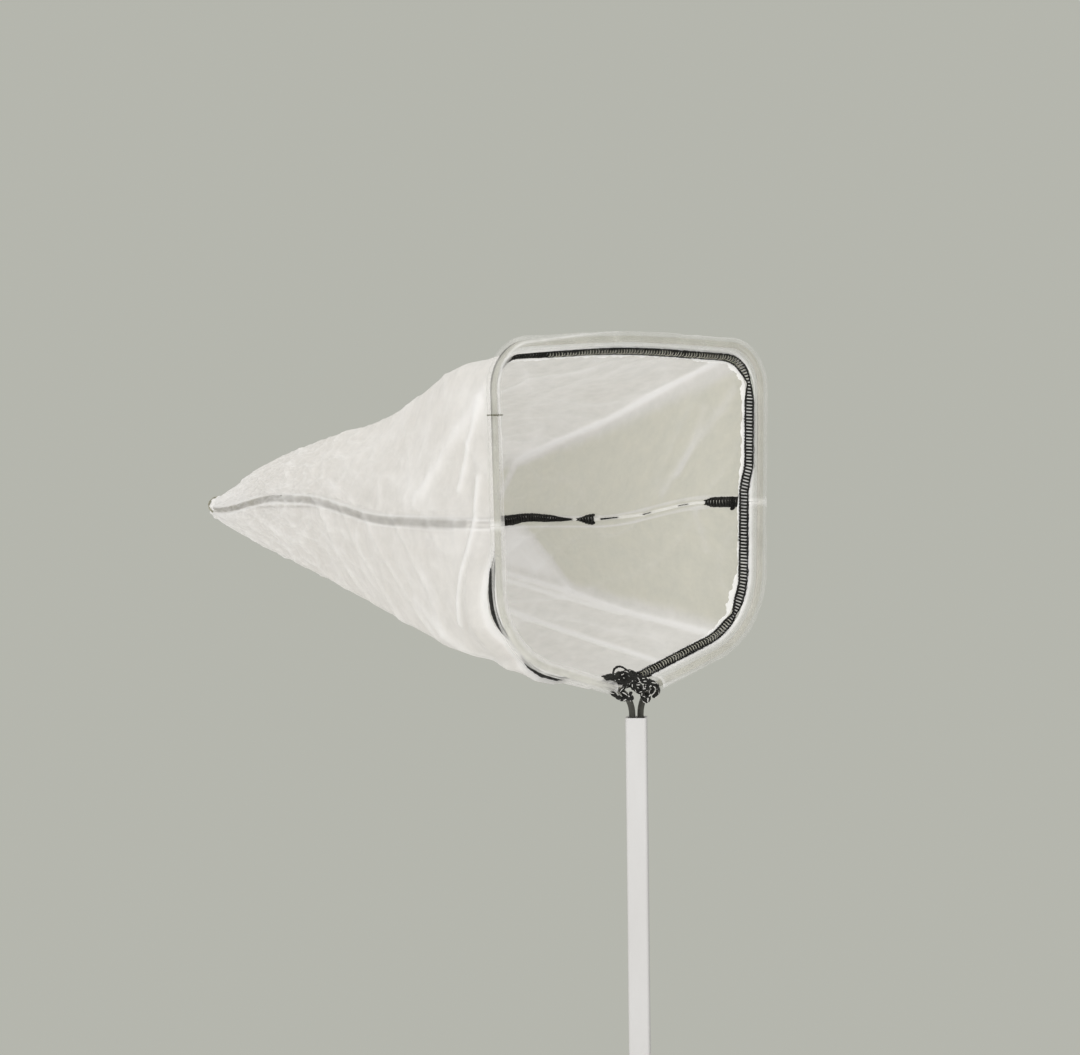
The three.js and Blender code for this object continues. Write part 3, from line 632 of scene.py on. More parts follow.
# %% Sag of the side seams, and swells and hollows along the bag
SAGS = [(-0.015, (0.30, 0.62), (0.70, 0.97)), (0.017, (0.06, 0.28), (0.62, 0.82))]
SWELLS = [
    (130, 52, [0, 0.03, 0.06, 0.10, 0.17, 0.245, 0.32, 0.39, 0.46, 0.54, 0.68, 0.75, 0.83, 0.90, 1],
     [0, -6, 0, 6.5, 3.2, -3.4, -7.8, -7.8, -6.5, -1.5, 3, 4.5, 4, 0, 0]),
    (247, 36, [0, 0.02, 0.06, 0.11, 0.18, 1], [0, -10, -12, -5, 0, 0]),
    (222, 22, [0, 0.05, 0.10, 0.16, 0.24, 1], [0, 0, 4, 4, 0, 0]),
]
SWELL_BLUR, SWELL_STEP = 0.016, 0.001


def seam_sag(angle, share):
    """How far the cloth beside the left or right seam hangs below a straight run."""
    left, right = (sag * (step_up(*start, share) - step_up(*end, share)) for sag, start, end in SAGS)
    return np.where(np.cos(angle) < 0, left, right) * np.cos(angle) ** 4


def swell_out(angle, share):
    """How far the cloth stands out of the rule's wall in broad swells: angle, half width, shares, mm."""
    even_share = np.linspace(-0.1, 1.1, 1201)
    kernel = np.exp(-(np.arange(-60, 61) * SWELL_STEP / SWELL_BLUR) ** 2 / 2)
    out = 0.0
    for middle, half, shares, rises in SWELLS:
        profile = np.convolve(np.interp(even_share, shares, rises), kernel / kernel.sum(), "same")
        off = np.abs((np.degrees(angle) - middle + 180) % 360 - 180) / half
        out = out + np.interp(share, even_share, profile) / 1000 * np.cos(np.clip(off, 0, 1) * np.pi / 2) ** 2
    return out


print(len(SAGS), "sags and", len(SWELLS), "swells")

# %% Noise
NOISE_CELLS = 64


def soft_noise(u, v, seed):
    """Smooth noise over a plane, about -1 to 1, the same on every run."""
    turns = np.random.default_rng(seed).uniform(0, 2 * np.pi, (NOISE_CELLS, NOISE_CELLS))
    iu, iv = np.floor(u).astype(int), np.floor(v).astype(int)
    fu, fv = u - iu, v - iv

    def pull(du, dv):
        turn = turns[(iu + du) % NOISE_CELLS, (iv + dv) % NOISE_CELLS]
        return np.cos(turn) * (fu - du) + np.sin(turn) * (fv - dv)

    su, sv = (t ** 3 * (t * (t * 6 - 15) + 10) for t in (fu, fv))
    low, high = (pull(0, dv) * (1 - su) + pull(1, dv) * su for dv in (0, 1))
    return 1.5 * (low * (1 - sv) + high * sv)


def row_noise(run, level, seed):
    """Noise along a line, taken at one level of the plane."""
    return soft_noise(run, np.full_like(run, level), seed)


def creased(u, v, seed, sharpness):
    """Noise turned to thin ridges, 0 on the flats and 1 on the ridge."""
    return np.clip(1 - np.abs(soft_noise(u, v, seed)) * sharpness, 0, 1) ** 2


print("noise repeats after", NOISE_CELLS, "cells")

# %% Folds drawn one by one
ARC_REACH, TOE_NARROWING = 0.14, 0.75
FOLD_LINES = [
    ([(76, 0.09), (96, 0.165), (100, 0.245), (102, 0.34)], 0.0016, 0.006, 0.10),
    ([(44, 0.02), (40, 0.15), (33, 0.345), (28, 0.43), (18, 0.455), (5, 0.49)], 0.0010, 0.0028, 0.30),
    ([(-43, 0.05), (-40, 0.2), (-35, 0.33), (-32, 0.44), (-30, 0.5)], 0.0010, 0.0030, 0.30),
    ([(-40.5, 0.22), (-39.5, 0.34), (-37.5, 0.44), (-36.5, 0.5)], 0.0010, 0.0026, 0.26),
    ([(-62.5, 0.07), (-61.5, 0.24), (-61.5, 0.40)], 0.0022, 0.0028, 0.45),
    ([(-3, 0.42), (-21, 0.37), (-35, 0.33)], 0.0012, 0.0040, 0.20),
    ([(34, 0.03), (24, 0.085), (7, 0.155)], 0.0014, 0.0050, 0.14),
    ([(31, 0.08), (13, 0.125)], 0.0010, 0.0040, 0.10),
    ([(-3, 0.092), (-17, 0.075)], 0.0010, 0.0040, 0.10),
    ([(146, 0.02), (158, 0.118), (176, 0.215)], 0.0022, 0.0060, 0.16),
    ([(148, 0.028), (158, 0.060), (172, 0.090)], 0.0020, 0.0035, 0.24),
    ([(169, 0.037), (192, 0.058), (214, 0.095)], 0.0022, 0.0035, 0.26),
    ([(228, 0.03), (226, 0.10), (214, 0.24)], 0.0018, 0.0050, 0.14),
]


def near_line(angle, share, line):
    """Distance in metres, over the cloth, to a line given by angles in degrees and shares of the length."""
    scale = ARC_REACH * (1 - TOE_NARROWING * share)
    nearest = np.full(angle.shape, np.inf)
    for (a1, s1), (a2, s2) in zip(line, line[1:]):
        x = ((angle - math.radians(a1) + np.pi) % (2 * np.pi) - np.pi) * scale
        y = (share - s1) * BAG_LENGTH
        dx, dy = math.radians(a2 - a1) * scale, (s2 - s1) * BAG_LENGTH
        t = np.clip((x * dx + y * dy) / (dx * dx + dy * dy), 0, 1)
        nearest = np.minimum(nearest, np.hypot(x - t * dx, y - t * dy))
    return nearest


print(len(FOLD_LINES), "folds drawn by hand")

# %% Folds and crinkles over the wall
SHOULDER_DEPTH, SHOULDER_WIDTH, SHOULDER_RISE = 0.020, 0.011, 0.0030
DRAWN_RISE, LONG_RISE, PLEAT_RISE, PLEATS = 0.0016, 0.0022, 0.0011, 11
DRAWN_CELL, DRAWN_FADE, LONG_CELL, LONG_SLANT = (0.034, 0.3), 0.07, (0.06, 0.34), 0.2
MOTTLE_CELL, MOTTLE_SLANT, MOTTLE_WHITE = (0.019, 0.023), 0.05, 0.10
DRAWN_SEED, LONG_SEED, PLEAT_SEED, MOTTLE_SEED = 3, 5, 8, 29
# across, slant and down in metres, seed, sharpness, least and where it grows, rise, white
CRINKLES = [(0.075, 0.13, 0.09, 11, 3.2, (1, 0, 1), 0.0015, 0.07),
            (0.030, -0.07, 0.036, 17, 3.4, (0.35, 0.2, 0.7), 0.0009, 0.10),
            (0.014, 0.05, 0.017, 23, 3.2, (0, 0.3, 0.75), 0.0005, 0.10)]


def folds(angle, depth, reach):
    """How far the folds and crinkles stand out from the flattened wall, and how dense they look."""
    share = depth / BAG_LENGTH
    arc = angle * ARC_REACH
    shoulder = np.exp(-((depth - SHOULDER_DEPTH) / SHOULDER_WIDTH) ** 2)
    shoulder = shoulder * step_up(0.45, 0.85, np.abs(np.cos(angle)))
    drawn = soft_noise(arc / DRAWN_CELL[0], depth / DRAWN_CELL[1], DRAWN_SEED)
    drawn = drawn * np.exp(-depth / DRAWN_FADE) * step_up(0, 0.02, depth)
    sway = 2 * soft_noise(angle, depth / 0.1, PLEAT_SEED)
    pleats = np.sin(angle * PLEATS + sway) * step_up(0.72, 0.97, share)
    mottle = soft_noise(arc / MOTTLE_CELL[0] + depth / MOTTLE_SLANT, depth / MOTTLE_CELL[1], MOTTLE_SEED)
    mottle = np.clip(mottle, 0, 1)
    dense = MOTTLE_WHITE * mottle * step_up(0.03, 0.2, share) * step_up(-0.05, -0.5, np.cos(angle))
    loose = LONG_RISE * soft_noise(arc / LONG_CELL[0] + depth / LONG_SLANT, depth / LONG_CELL[1], LONG_SEED)
    for across, slant, down, seed, sharpness, (least, start, end), rise, white in CRINKLES:
        ridge = creased(arc / across + depth / slant, depth / down, seed, sharpness)
        ridge = ridge * (least + (1 - least) * step_up(start, end, share))
        loose, dense = loose + rise * ridge, dense + white * ridge
    fade = step_up(0, 0.05, depth) * np.clip(reach / 0.05, 0.25, 1)
    out = SHOULDER_RISE * shoulder + DRAWN_RISE * drawn + fade * loose + PLEAT_RISE * pleats
    for line, rise, width, white in FOLD_LINES:
        ridge = np.exp(-(near_line(angle, share, line) / width) ** 2)
        out, dense = out + rise * ridge, dense + white * ridge
    return out, dense


print(len(CRINKLES), "layers of crinkles")

# %% Wall of the bag
HOLD_DEPTH, HOLD_LESS, HOLD_PULL = 0.035, 0.017, (86, 98)
SHEET_SINK = 0.0006


def bag_wall(points, directions, depths, sink=SHEET_SINK):
    """The bag's wall, a row for each depth from 0 and a column for each station, and its density."""
    angle, _ = spokes(points, directions)
    around = np.linspace(0, 2 * np.pi, SECTION_STEPS + 1)
    reach = np.array([np.interp(angle % (2 * np.pi), around, np.append(ring, ring[0]))
                      for ring in (section(depth / BAG_LENGTH) for depth in depths)])
    depth = np.broadcast_to(np.asarray(depths)[:, None], reach.shape)
    share = depth / BAG_LENGTH
    turn = np.broadcast_to(angle[None, :], reach.shape)
    reach = reach + swell_out(turn, share) - sink
    out, dense = folds(turn, depth, reach)
    reach = reach + out
    wall = np.stack([-BAG_LEAN * share + np.cos(turn) * reach, BAG_FRONT + depth,
                     SEAM_LEVEL - BAG_DROP * share + np.sin(turn) * reach - seam_sag(turn, share)], axis=2)
    held = panel_edge(points, directions)
    hold = np.exp(-(depth / (HOLD_DEPTH - HOLD_LESS * pulled_back(points, HOLD_PULL))) ** 2)
    return wall + (held - wall[0])[None, :, :] * hold[:, :, None], dense


print("the mouth's edge holds the wall over about", HOLD_DEPTH, "m")


def object_of(mesh, *materials):
    for material in materials:
        mesh.materials.append(material)
    return put(mesh.name, mesh)


def settle(piece, slot_name, *stands_for, body="frame"):
    """Attaches a piece to the body that it rides, or for body 'both' only bakes its place, and hides the
    solids it stands for. slot_name is not used.
    """
    if body == "both":
        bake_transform(piece)
    else:
        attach(piece, body)
    if stands_for:
        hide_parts(*stands_for)
    return piece


# %% Cloth from a grid of points
def quads(index):
    return np.stack([index[:-1, :-1], index[:-1, 1:], index[1:, 1:], index[1:, :-1]], axis=2)


def grid_mesh(name, points, dense, closed):
    """A smooth mesh over a grid of points, with its cloth measure as a UV map and its density."""
    uv = cloth_measure(points)
    index = np.arange(points.shape[0] * points.shape[1]).reshape(points.shape[:2])
    if closed:
        index = np.concatenate([index, index[:, :1]], axis=1)
        uv = np.concatenate([uv, uv[:, -1:] + (uv[:, -1:] - uv[:, -2:-1])], axis=1)
    faces = quads(index).reshape(-1, 4)
    mesh = bpy.data.meshes.new(name)
    mesh.from_pydata(points.reshape(-1, 3).tolist(), [], faces.tolist())
    cells = quads(np.arange(uv.shape[0] * uv.shape[1]).reshape(uv.shape[:2])).reshape(-1)
    layer = mesh.uv_layers.new(name="Cloth")
    layer.data.foreach_set("uv", uv.reshape(-1, 2)[cells].astype(np.float32).ravel())
    values = np.broadcast_to(dense, points.shape[:2]).astype(np.float32).ravel()
    mesh.attributes.new("dense", "FLOAT", "POINT").data.foreach_set("value", values)
    mesh.polygons.foreach_set("use_smooth", np.ones(len(faces), bool))
    mesh.update()
    return mesh


def cloth_measure(points):
    """Metres along the cloth across and down a grid, from the middle of each row."""
    across = np.linalg.norm(np.diff(points, axis=1), axis=2)
    u = np.concatenate([np.zeros((len(points), 1)), np.cumsum(across, axis=1)], axis=1)
    u -= u[:, -1:] / 2
    down = np.linalg.norm(np.diff(points, axis=0), axis=2).mean(axis=1)
    v = np.concatenate([[0], np.cumsum(down)])
    return np.stack([u, np.broadcast_to(v[:, None], u.shape)], axis=2)


def area_of(mesh):
    return sum(p.area for p in mesh.polygons)


def cloth(name, points, dense, finish, slot_name, *stands_for, body="frame", closed=False):
    mesh = grid_mesh(name, points, dense, closed)
    print(f"{name}: {len(mesh.polygons)} faces, {area_of(mesh):.4f} square metres")
    return settle(object_of(mesh, finish), slot_name, *stands_for, body=body)


print("helpers made for cloth")

# %% [markdown]
# ## The two panels
# Each panel is a grid over the wall. Its density makes it whiter where it is folded at the mouth, turned in
# beside a seam or gathered at the toe, and whiter on the lower right wall deeper in than its thin part, as
# painted light. It makes the right wall thinner where it is stretched between its creases, with a darker
# olive painted there as shade.

# %% The two panels
PANEL_COLUMN, PANEL_ROWS = 0.0019, 220
BAG_DEPTHS = np.linspace(0, BAG_LENGTH, PANEL_ROWS + 1)
EDGE_FOLD, SEAM_BORDER, BORDER_WIDTH, WORN_WIDTH = 0.0035, 0.0044, 0.0011, 0.0036
# The first of these, for the lower right wall deep in the bag, is painted light.
DEEP_PAINTED_LIGHT, UNDER_WHITE, MOUTH_WHITE, TOE_WHITE, BORDER_WHITE = 0.24, 0.10, 0.34, 0.20, 0.22
MOST_WHITE, THIN, WORN = 0.4, 0.20, 0.26
STRETCH_SHADE_PLACES, STRETCH_SHADE_ENDS = [-35, -21, -3, 5], [0.33, 0.37, 0.42, 0.48]


def panel_density(dense, angle, wall):
    depth = BAG_DEPTHS[:, None]
    share = depth / BAG_LENGTH
    (up, up_toe), (low, low_toe) = CREASE_ANGLE[0], CREASE_ANGLE[-1]
    above = np.radians(up + (up_toe - up) * share) - angle
    below = angle - np.radians(low - 360 + (low_toe - low) * share)
    past_end = share - np.interp(np.degrees(angle), STRETCH_SHADE_PLACES, STRETCH_SHADE_ENDS)
    # The right wall between its creases: thinner, and painted a darker olive as shade.
    stretched_and_shaded = step_up(0, 0.12, above) * step_up(0, 0.12, below) * step_up(0.03, -0.01, past_end)
    # Painted light: the lower right wall past its thin part made whiter and denser.
    deep_painted_light = DEEP_PAINTED_LIGHT * step_up(-0.01, 0.02, past_end) * step_up(0, 0.12, below) * (angle < 0)
    under = UNDER_WHITE * step_up(0.05, -0.05, below) * (np.cos(angle) > -0.5) * (angle < 0)
    mouth = MOUTH_WHITE * np.exp(-(depth / EDGE_FOLD) ** 2)
    toe_deep_and_under = TOE_WHITE * step_up(0.75, 1.0, share) + deep_painted_light + under
    u = np.abs(cloth_measure(wall)[:, :, 0])
    from_seam = u[:, -1:] - u
    turned_in = BORDER_WHITE * np.exp(-((from_seam - SEAM_BORDER) / BORDER_WIDTH) ** 2)
    edge_darkening = WORN * step_up(0.70, 0.95, share) * np.exp(-(from_seam / WORN_WIDTH) ** 4)
    whiter = np.clip(dense * (1 - 0.3 * stretched_and_shaded) + mouth + toe_deep_and_under + turned_in, 0, MOST_WHITE)
    return whiter - THIN * stretched_and_shaded - edge_darkening


for name, corners in RUNS.items():
    points, directions = bend_path(corners, PANEL_COLUMN)
    wall, dense = bag_wall(points, directions, BAG_DEPTHS)
    dense = panel_density(dense, spokes(points, directions)[0], wall)
    panel = cloth(f"{name}_panel", wall, dense, BAG_MESH, "bag_mesh", f"{name}_panel_mouth",
                  f"{name}_panel_toe", body="both")

# %% [markdown]
# ## The hem
# The mouth's edge is a sleeve of the same mesh, folded round the wire and drawn in to the tail where the
# overlock holds it. It is one open strip bent round the wire in a drop shape, a little puckered, in three
# lengths that meet at the side seams.

# %% Section of the hem
HEM_RADIUS, HEM_ROUND, HEM_OPEN, TAIL_HALF = 0.006, 26, math.radians(42), 0.0007


def drop_section(tail):
    """The sleeve's section as (along the tail, behind it), from one side of the tail round to the other."""
    angles = np.linspace(HEM_OPEN, 2 * np.pi - HEM_OPEN, HEM_ROUND)
    loop = [(HEM_RADIUS * math.cos(a), HEM_RADIUS * math.sin(a)) for a in angles]
    start, high = loop[0]
    flank = [(start + (tail - start) * t, high + (TAIL_HALF - high) * (1 - (1 - t) ** 1.6))
             for t in (1, 0.68, 0.34)]
    return [*flank, *loop, *[(a, -b) for a, b in reversed(flank)]]


print(len(drop_section(HEM_TAIL)), "places round the sleeve")

# %% Hem sleeves
HEM_STEP, HEM_START, HEM_END_GAP = 0.0022, 0.004, 0.00015
PUCKERS, FIRST_PUCKER = [(0.00045, 0.009, 0.11), (0.0005, 0.035, 0.07)], 31
FOLD_PLACES = [-180, -140, -100, -60, 0, 60, 90, 130, 180]
FOLD_SEATS = [0.55, 0.50, 0.30, 0, 0, -0.10, -0.26, 0.20, 0.55]
FOLD_WHITES = [0.55, 0.50, 0.30, 0.22, 0.24, 0.20, 0.12, 0.40, 0.55]
HEM_WHITES = [0.04, 0.16, 0.22, 0.04, 0, 0, 0, 0.04, 0.04]


def sleeve(name, corners, seed):
    points, directions = bend_path(corners, HEM_STEP)
    shape = drop_section(HEM_TAIL + band_shift(points))
    run = np.arange(len(points)) * HEM_STEP
    columns = []
    for k, (along, behind) in enumerate(shape):
        pucker = sum(rise * row_noise(run / length, k * drift, seed + turn)
                     for turn, (rise, length, drift) in enumerate(PUCKERS))
        grow = 1 + pucker * math.sin(math.pi * k / (len(shape) - 1)) / np.hypot(along, behind)
        columns.append(tail_place(points, directions, along * grow, behind * grow))
    wall = np.stack(columns, axis=1)
    seat = np.linspace(-1, 1, len(shape))[None, :]
    ends = np.minimum(run, run[::-1])
    fold_seat, fold_white, plain = (np.interp(polar(points), FOLD_PLACES, table)[:, None]
                                    for table in (FOLD_SEATS, FOLD_WHITES, HEM_WHITES))
    dense = plain + 0.6 * step_up(0.80, 1.0, np.abs(seat))
    dense = dense + fold_white * np.exp(-((seat - fold_seat) / 0.075) ** 2)
    dense = dense + 0.3 * np.exp(-(ends / 0.003) ** 2)[:, None]
    piece = cloth(f"{name}_sleeve", wall, np.clip(dense, 0, 0.8), HEM_MESH, "hem_mesh", name)


def hem_end(side, way):
    return seam_point(side) + np.array([0, way * HEM_END_GAP, 0])


hem_start = {side: lower_point(side, NECK[side], NECK_RUN + HEM_START) for side in SIDES}
hems = {
    "hem_upper": [hem_end(LEFT, 1), *TOP_CORNERS, hem_end(RIGHT, 1)],
    "hem_lower_left": [hem_start[LEFT], LOWER[LEFT], hem_end(LEFT, -1)],
    "hem_lower_right": [hem_end(RIGHT, -1), LOWER[RIGHT], hem_start[RIGHT]],
}
for turn, (name, corners) in enumerate(hems.items()):
    sleeve(name, corners, FIRST_PUCKER + len(PUCKERS) * turn)

# %% [markdown]
# ## Stitches
# An overlock seam is a ladder of thread: bars that cross the folded edge of the cloth, and a chain of loops
# along each side. Hundreds of equal stitches that follow a line are work for Geometry Nodes. A tree takes a
# guide line that carries two directions at each point, along the seam and out of its face, resamples it to
# the stitch pitch, and sets its threads at every point, each a little different.

# %% Parts of a stitch tree
def stitch_tree(name, sizes):
    """A tree with its inputs, and even points along the guide with the turn that lays a stitch face up."""
    tree = bpy.data.node_groups.new(name, "GeometryNodeTree")
    ids = {}
    for key, kind, value in (("Geometry", "Geometry", None), *((k, "Float", v) for k, v in sizes.items()),
                             ("Seed", "Int", 1), ("Material", "Material", None)):
        socket = tree.interface.new_socket(name=key, in_out="INPUT", socket_type=f"NodeSocket{kind}")
        ids[key] = socket.identifier
        if value is not None:
            socket.default_value = value
    tree.interface.new_socket(name="Geometry", in_out="OUTPUT", socket_type="NodeSocketGeometry")
    given = add("NodeGroupInput", tree=tree).outputs
    line = add("MeshToCurve", {"Mesh": given["Geometry"]})
    points = add("ResampleCurve", {"Curve": line, "Length": given["Pitch"]}, mode="LENGTH")
    ways = [named(tree, way, "FLOAT_VECTOR") for way in ("along", "face")]
    turn = add("AxesToRotation", dict(enumerate(ways)), primary_axis="X", secondary_axis="Z")
    return tree, ids, given, {"Points": points, "Rotation": turn}


def named(tree, name, kind):
    return add("InputNamedAttribute", {"Name": name}, tree, data_type=kind)


def vector_of(x=0.0, y=0.0, z=0.0):
    return add("CombineXYZ", {"X": x, "Y": y, "Z": z})


def random_vector(low, high, seed):
    return add("RandomValue", {0: low, 1: high, "Seed": seed}, data_type="FLOAT_VECTOR")


def circle(sides, radius):
    return add("CurvePrimitiveCircle", {"Resolution": sides, "Radius": radius})


def thread_tube(curve, radius, sides):
    return add("CurveToMesh", {"Curve": curve, "Profile Curve": circle(sides, radius), "Fill Caps": True})


def shifted(shape, **moves):
    return add("Transform", {"Geometry": shape, **moves})


def joined(shapes):
    made = add("JoinGeometry", {0: shapes[0]})
    for shape in shapes[1:]:
        made.id_data.links.new(shape.outputs[0], made.inputs[0])
    return made


def laid(seats, shape, scale):
    return add("InstanceOnPoints", {**seats, "Instance": shape, "Scale": scale})


def close_tree(shapes, material):
    smooth = add("SetShadeSmooth", {0: add("RealizeInstances", {0: joined(shapes)})})
    add("NodeGroupOutput", {0: add("SetMaterial", {0: smooth, "Material": material})})


print("parts of a stitch tree ready")

# %% Overlock tree
OVERLOCK_SIZES = {"Pitch": 0.0029, "Width": MOUTH_SEAM_WIDTH, "Thread": 0.0008, "Bar": 1.2,
                  "Slant": 0.0004, "Rise": 0.0011, "Link": 0.0022}


def overlock_tree():
    """Bars across both faces of a seam, and a chain of loops along each edge."""
    tree, ids, given, seats = stitch_tree("overlock_stitches", OVERLOCK_SIZES)
    slant, rise = given["Slant"], given["Rise"]
    half, less = times(given["Width"], 0.5), times(given["Width"], -0.5)
    back = times(slant, -1.0)
    bar_line = add("CurvePrimitiveBezierSegment", {
        "Resolution": 6, "Start": vector_of(back, less), "End": vector_of(slant, half),
        "Start Handle": vector_of(back, less, rise),
        "End Handle": vector_of(slant, half, rise)}, mode="POSITION")
    front = thread_tube(bar_line, times(given["Thread"], given["Bar"]), 5)
    bar = joined([front, shifted(front, Rotation=(math.pi, 0.0, 0.0))])
    sway = add("VectorMath", {
        0: random_vector((0.9, 0.94, 0.8), (1.1, 1.04, 1.15), given["Seed"]),
        1: vector_of(1.0, named(tree, "wide", "FLOAT"), 1.0)}, operation="MULTIPLY")
    loop = shifted(circle(7, given["Link"]), Scale=(1.0, 0.42, 1.0), Rotation=(0.5, 0.0, 0.12))
    link = thread_tube(loop, times(given["Thread"], 0.8), 4)
    links = [shifted(link, Translation=vector_of(0.0, edge)) for edge in (half, less)]
    close_tree([laid(seats, shape, sway) for shape in (bar, *links)], given["Material"])
    return tree, ids


overlock = overlock_tree()
print("overlock tree:", len(overlock[0].nodes), "nodes")

# %% Pieces grown from a guide line
def stitched(name, stitch, line, face, material, wide=None, **sizes):
    """A new piece that a tree makes along a line, so wide at each point, with 0 for no stitch."""
    tree, ids = stitch
    wide = np.ones(len(line)) if wide is None else wide
    guide = bpy.data.meshes.new(f"{name}_guide")
    kept = [(i, i + 1) for i in range(len(line) - 1) if min(wide[i], wide[i + 1]) > 0]
    guide.from_pydata(line.tolist(), kept, [])
    guide.attributes.new("wide", "FLOAT", "POINT").data.foreach_set("value", wide.astype(np.float32))
    for attribute, values in (("along", tangents(line)), ("face", face)):
        guide.attributes.new(attribute, "FLOAT_VECTOR", "POINT").data.foreach_set(
            "vector", values.astype(np.float32).ravel())
    source = object_of(guide)
    modifier = source.modifiers.new("stitches", "NODES")
    modifier.node_group = tree
    for key, value in {**sizes, "Material": material}.items():
        modifier[ids[key]] = value
    ready = source.evaluated_get(bpy.context.evaluated_depsgraph_get())
    mesh = bpy.data.meshes.new_from_object(ready)
    source.modifiers.remove(modifier)
    bpy.data.objects.remove(source)
    mesh.name = name
    mesh.materials.clear()
    print(f"{name}: {len(mesh.polygons)} faces")
    return object_of(mesh, material)


print("helper made for pieces grown from a guide line")

# %% [markdown]
# ## Mouth seam
# The band along the hem's tail: a narrow tape of folded mesh, with the ladder of black thread over it. From
# the front the white of the tape shows between the bars, and pale flecks of thread along the top and the
# lower right. Low on the left the stitches are bunched. Inside the band the raw edge of the cloth stands up
# as a narrow white frill, widest at the right corners.

# %% Line of the mouth seam, and tapes
TAPE_COLUMNS, TAPE_WAVE, TAPE_WHITE = 9, 0.0004, 0.34
SEAM_STEP = 0.0016
seam_middle = HEM_TAIL + SEAM_GAP + MOUTH_SEAM_WIDTH / 2
mouth_points, mouth_directions = bend_path([lower_point(LEFT, APEX, 0.004), LOWER[LEFT], *TOP_CORNERS,
                                            LOWER[RIGHT], lower_point(RIGHT, APEX, 0.0)], SEAM_STEP)
mouth_polar, mouth_shift = polar(mouth_points), band_shift(mouth_points)


def mouth_line(along):
    return tail_place(mouth_points, mouth_directions, along + mouth_shift, 0.0)


def tape(name, middle, across, width, lift, face, seed, white=TAPE_WHITE, body="frame"):
    """A folded strip of mesh along a seam, a little wavy at its edges."""
    run = run_of(middle)
    columns = []
    for share in np.linspace(-0.5, 0.5, TAPE_COLUMNS):
        wave = lift + TAPE_WAVE * row_noise(run / 0.012, share * 2, seed)
        columns.append(middle + across * (share * width)[:, None] + face * wave[:, None])
    return cloth(name, np.stack(columns, axis=1), white, HEM_MESH, "hem_mesh", body=body)


print("the mouth seam runs over", round(run_of(mouth_points)[-1], 3), "m")

# %% Mouth seam and frill
TAPE_SHARE, ACROSS_STEP, BUNCHED = 0.96, 0.001, (-163, -113)
FLECK_PLACES = [-180, -84, -83, -42, -41, 36, 37, 121, 122, 180]
FLECK_SHOWN = [0, 0, 1, 1, 0, 0, 1, 1, 0, 0]
FRILL_PLACES = [-180, -90, -60, -42, -36, -28, -20, 0, 30, 38, 48, 60, 120, 150, 180]
FRILL_WIDTHS = [0.0006, 0.0006, 0.0014, 0.0030, 0.0055, 0.0044, 0.0018, 0.0018, 0.0018, 0.0034, 0.0030,
                0.0022, 0.0022, 0.0008, 0.0006]
FRILL_WHITE, FRILL_INWARD, FRILL_BACK = 0.75, 0.94, 0.34
MOUTH_THREADS = {"stitches": (BLACK_THREAD, {}), "bunch": (BLACK_THREAD, {"Pitch": 0.0011}),
                 "flecks": (PALE_THREAD, {"Width": 0.0046, "Pitch": 0.0031, "Thread": 0.0003, "Bar": 1.0,
                                          "Rise": 0.0034, "Link": 0.0006})}


def make_mouth_seam():
    middle = mouth_line(seam_middle)
    across = (mouth_line(seam_middle + ACROSS_STEP) - middle) / ACROSS_STEP
    face = np.cross(tangents(middle), across)
    wide = np.interp(mouth_polar, BAND_PLACES, BAND_WIDTHS)
    strip = tape("mouth_seam_tape", middle, across, MOUTH_SEAM_WIDTH * TAPE_SHARE * wide, 0, face, 61)
    shown = {"stitches": 1, "bunch": (mouth_polar > BUNCHED[0]) & (mouth_polar < BUNCHED[1]),
             "flecks": np.interp(mouth_polar, FLECK_PLACES, FLECK_SHOWN) > 0.5}
    for seed, (name, (thread, sizes)) in enumerate(MOUTH_THREADS.items(), 3):
        piece = stitched(f"mouth_seam_{name}", overlock, middle, face, thread, wide * shown[name],
                         Seed=seed, **sizes)
        settle(piece, "seam_thread", *(["mouth_seam"] if name == "stitches" else []))
    return strip


def make_frill():
    root = mouth_line(seam_middle + MOUTH_SEAM_WIDTH / 2)
    inn = inward(mouth_directions) * FRILL_INWARD
    across = np.stack([inn[:, 0], np.full(len(root), FRILL_BACK), inn[:, 1]], axis=1)
    face = np.cross(across, tangents(root))
    front = np.where((face[:, 1] < 0)[:, None], face, -face)
    run = np.arange(len(root)) * SEAM_STEP
    ragged = 1 + 0.6 * row_noise(run / 0.011, 0.3, 67) + 0.4 * row_noise(run / 0.004, 0.7, 68)
    width = np.interp(mouth_polar, FRILL_PLACES, FRILL_WIDTHS) - 0.4 * mouth_shift
    width = width * np.clip(ragged, 0.3, 2)
    middle = root + across * (width / 2)[:, None]
    return tape("mouth_frill", middle, across, width, 0, front, 69, FRILL_WHITE)


mouth_tape, mouth_frill = make_mouth_seam(), make_frill()

# %% [markdown]
# ## Side seams
# The panels meet inside the bag in two more overlock bands. The left one lies against the wall, so its
# olive thread shows grey through the mesh. The right one is seen through the mouth: a full band near the
# hoop, then a few thin stitches, then a knob and a band that widens again, folded up against the wall.

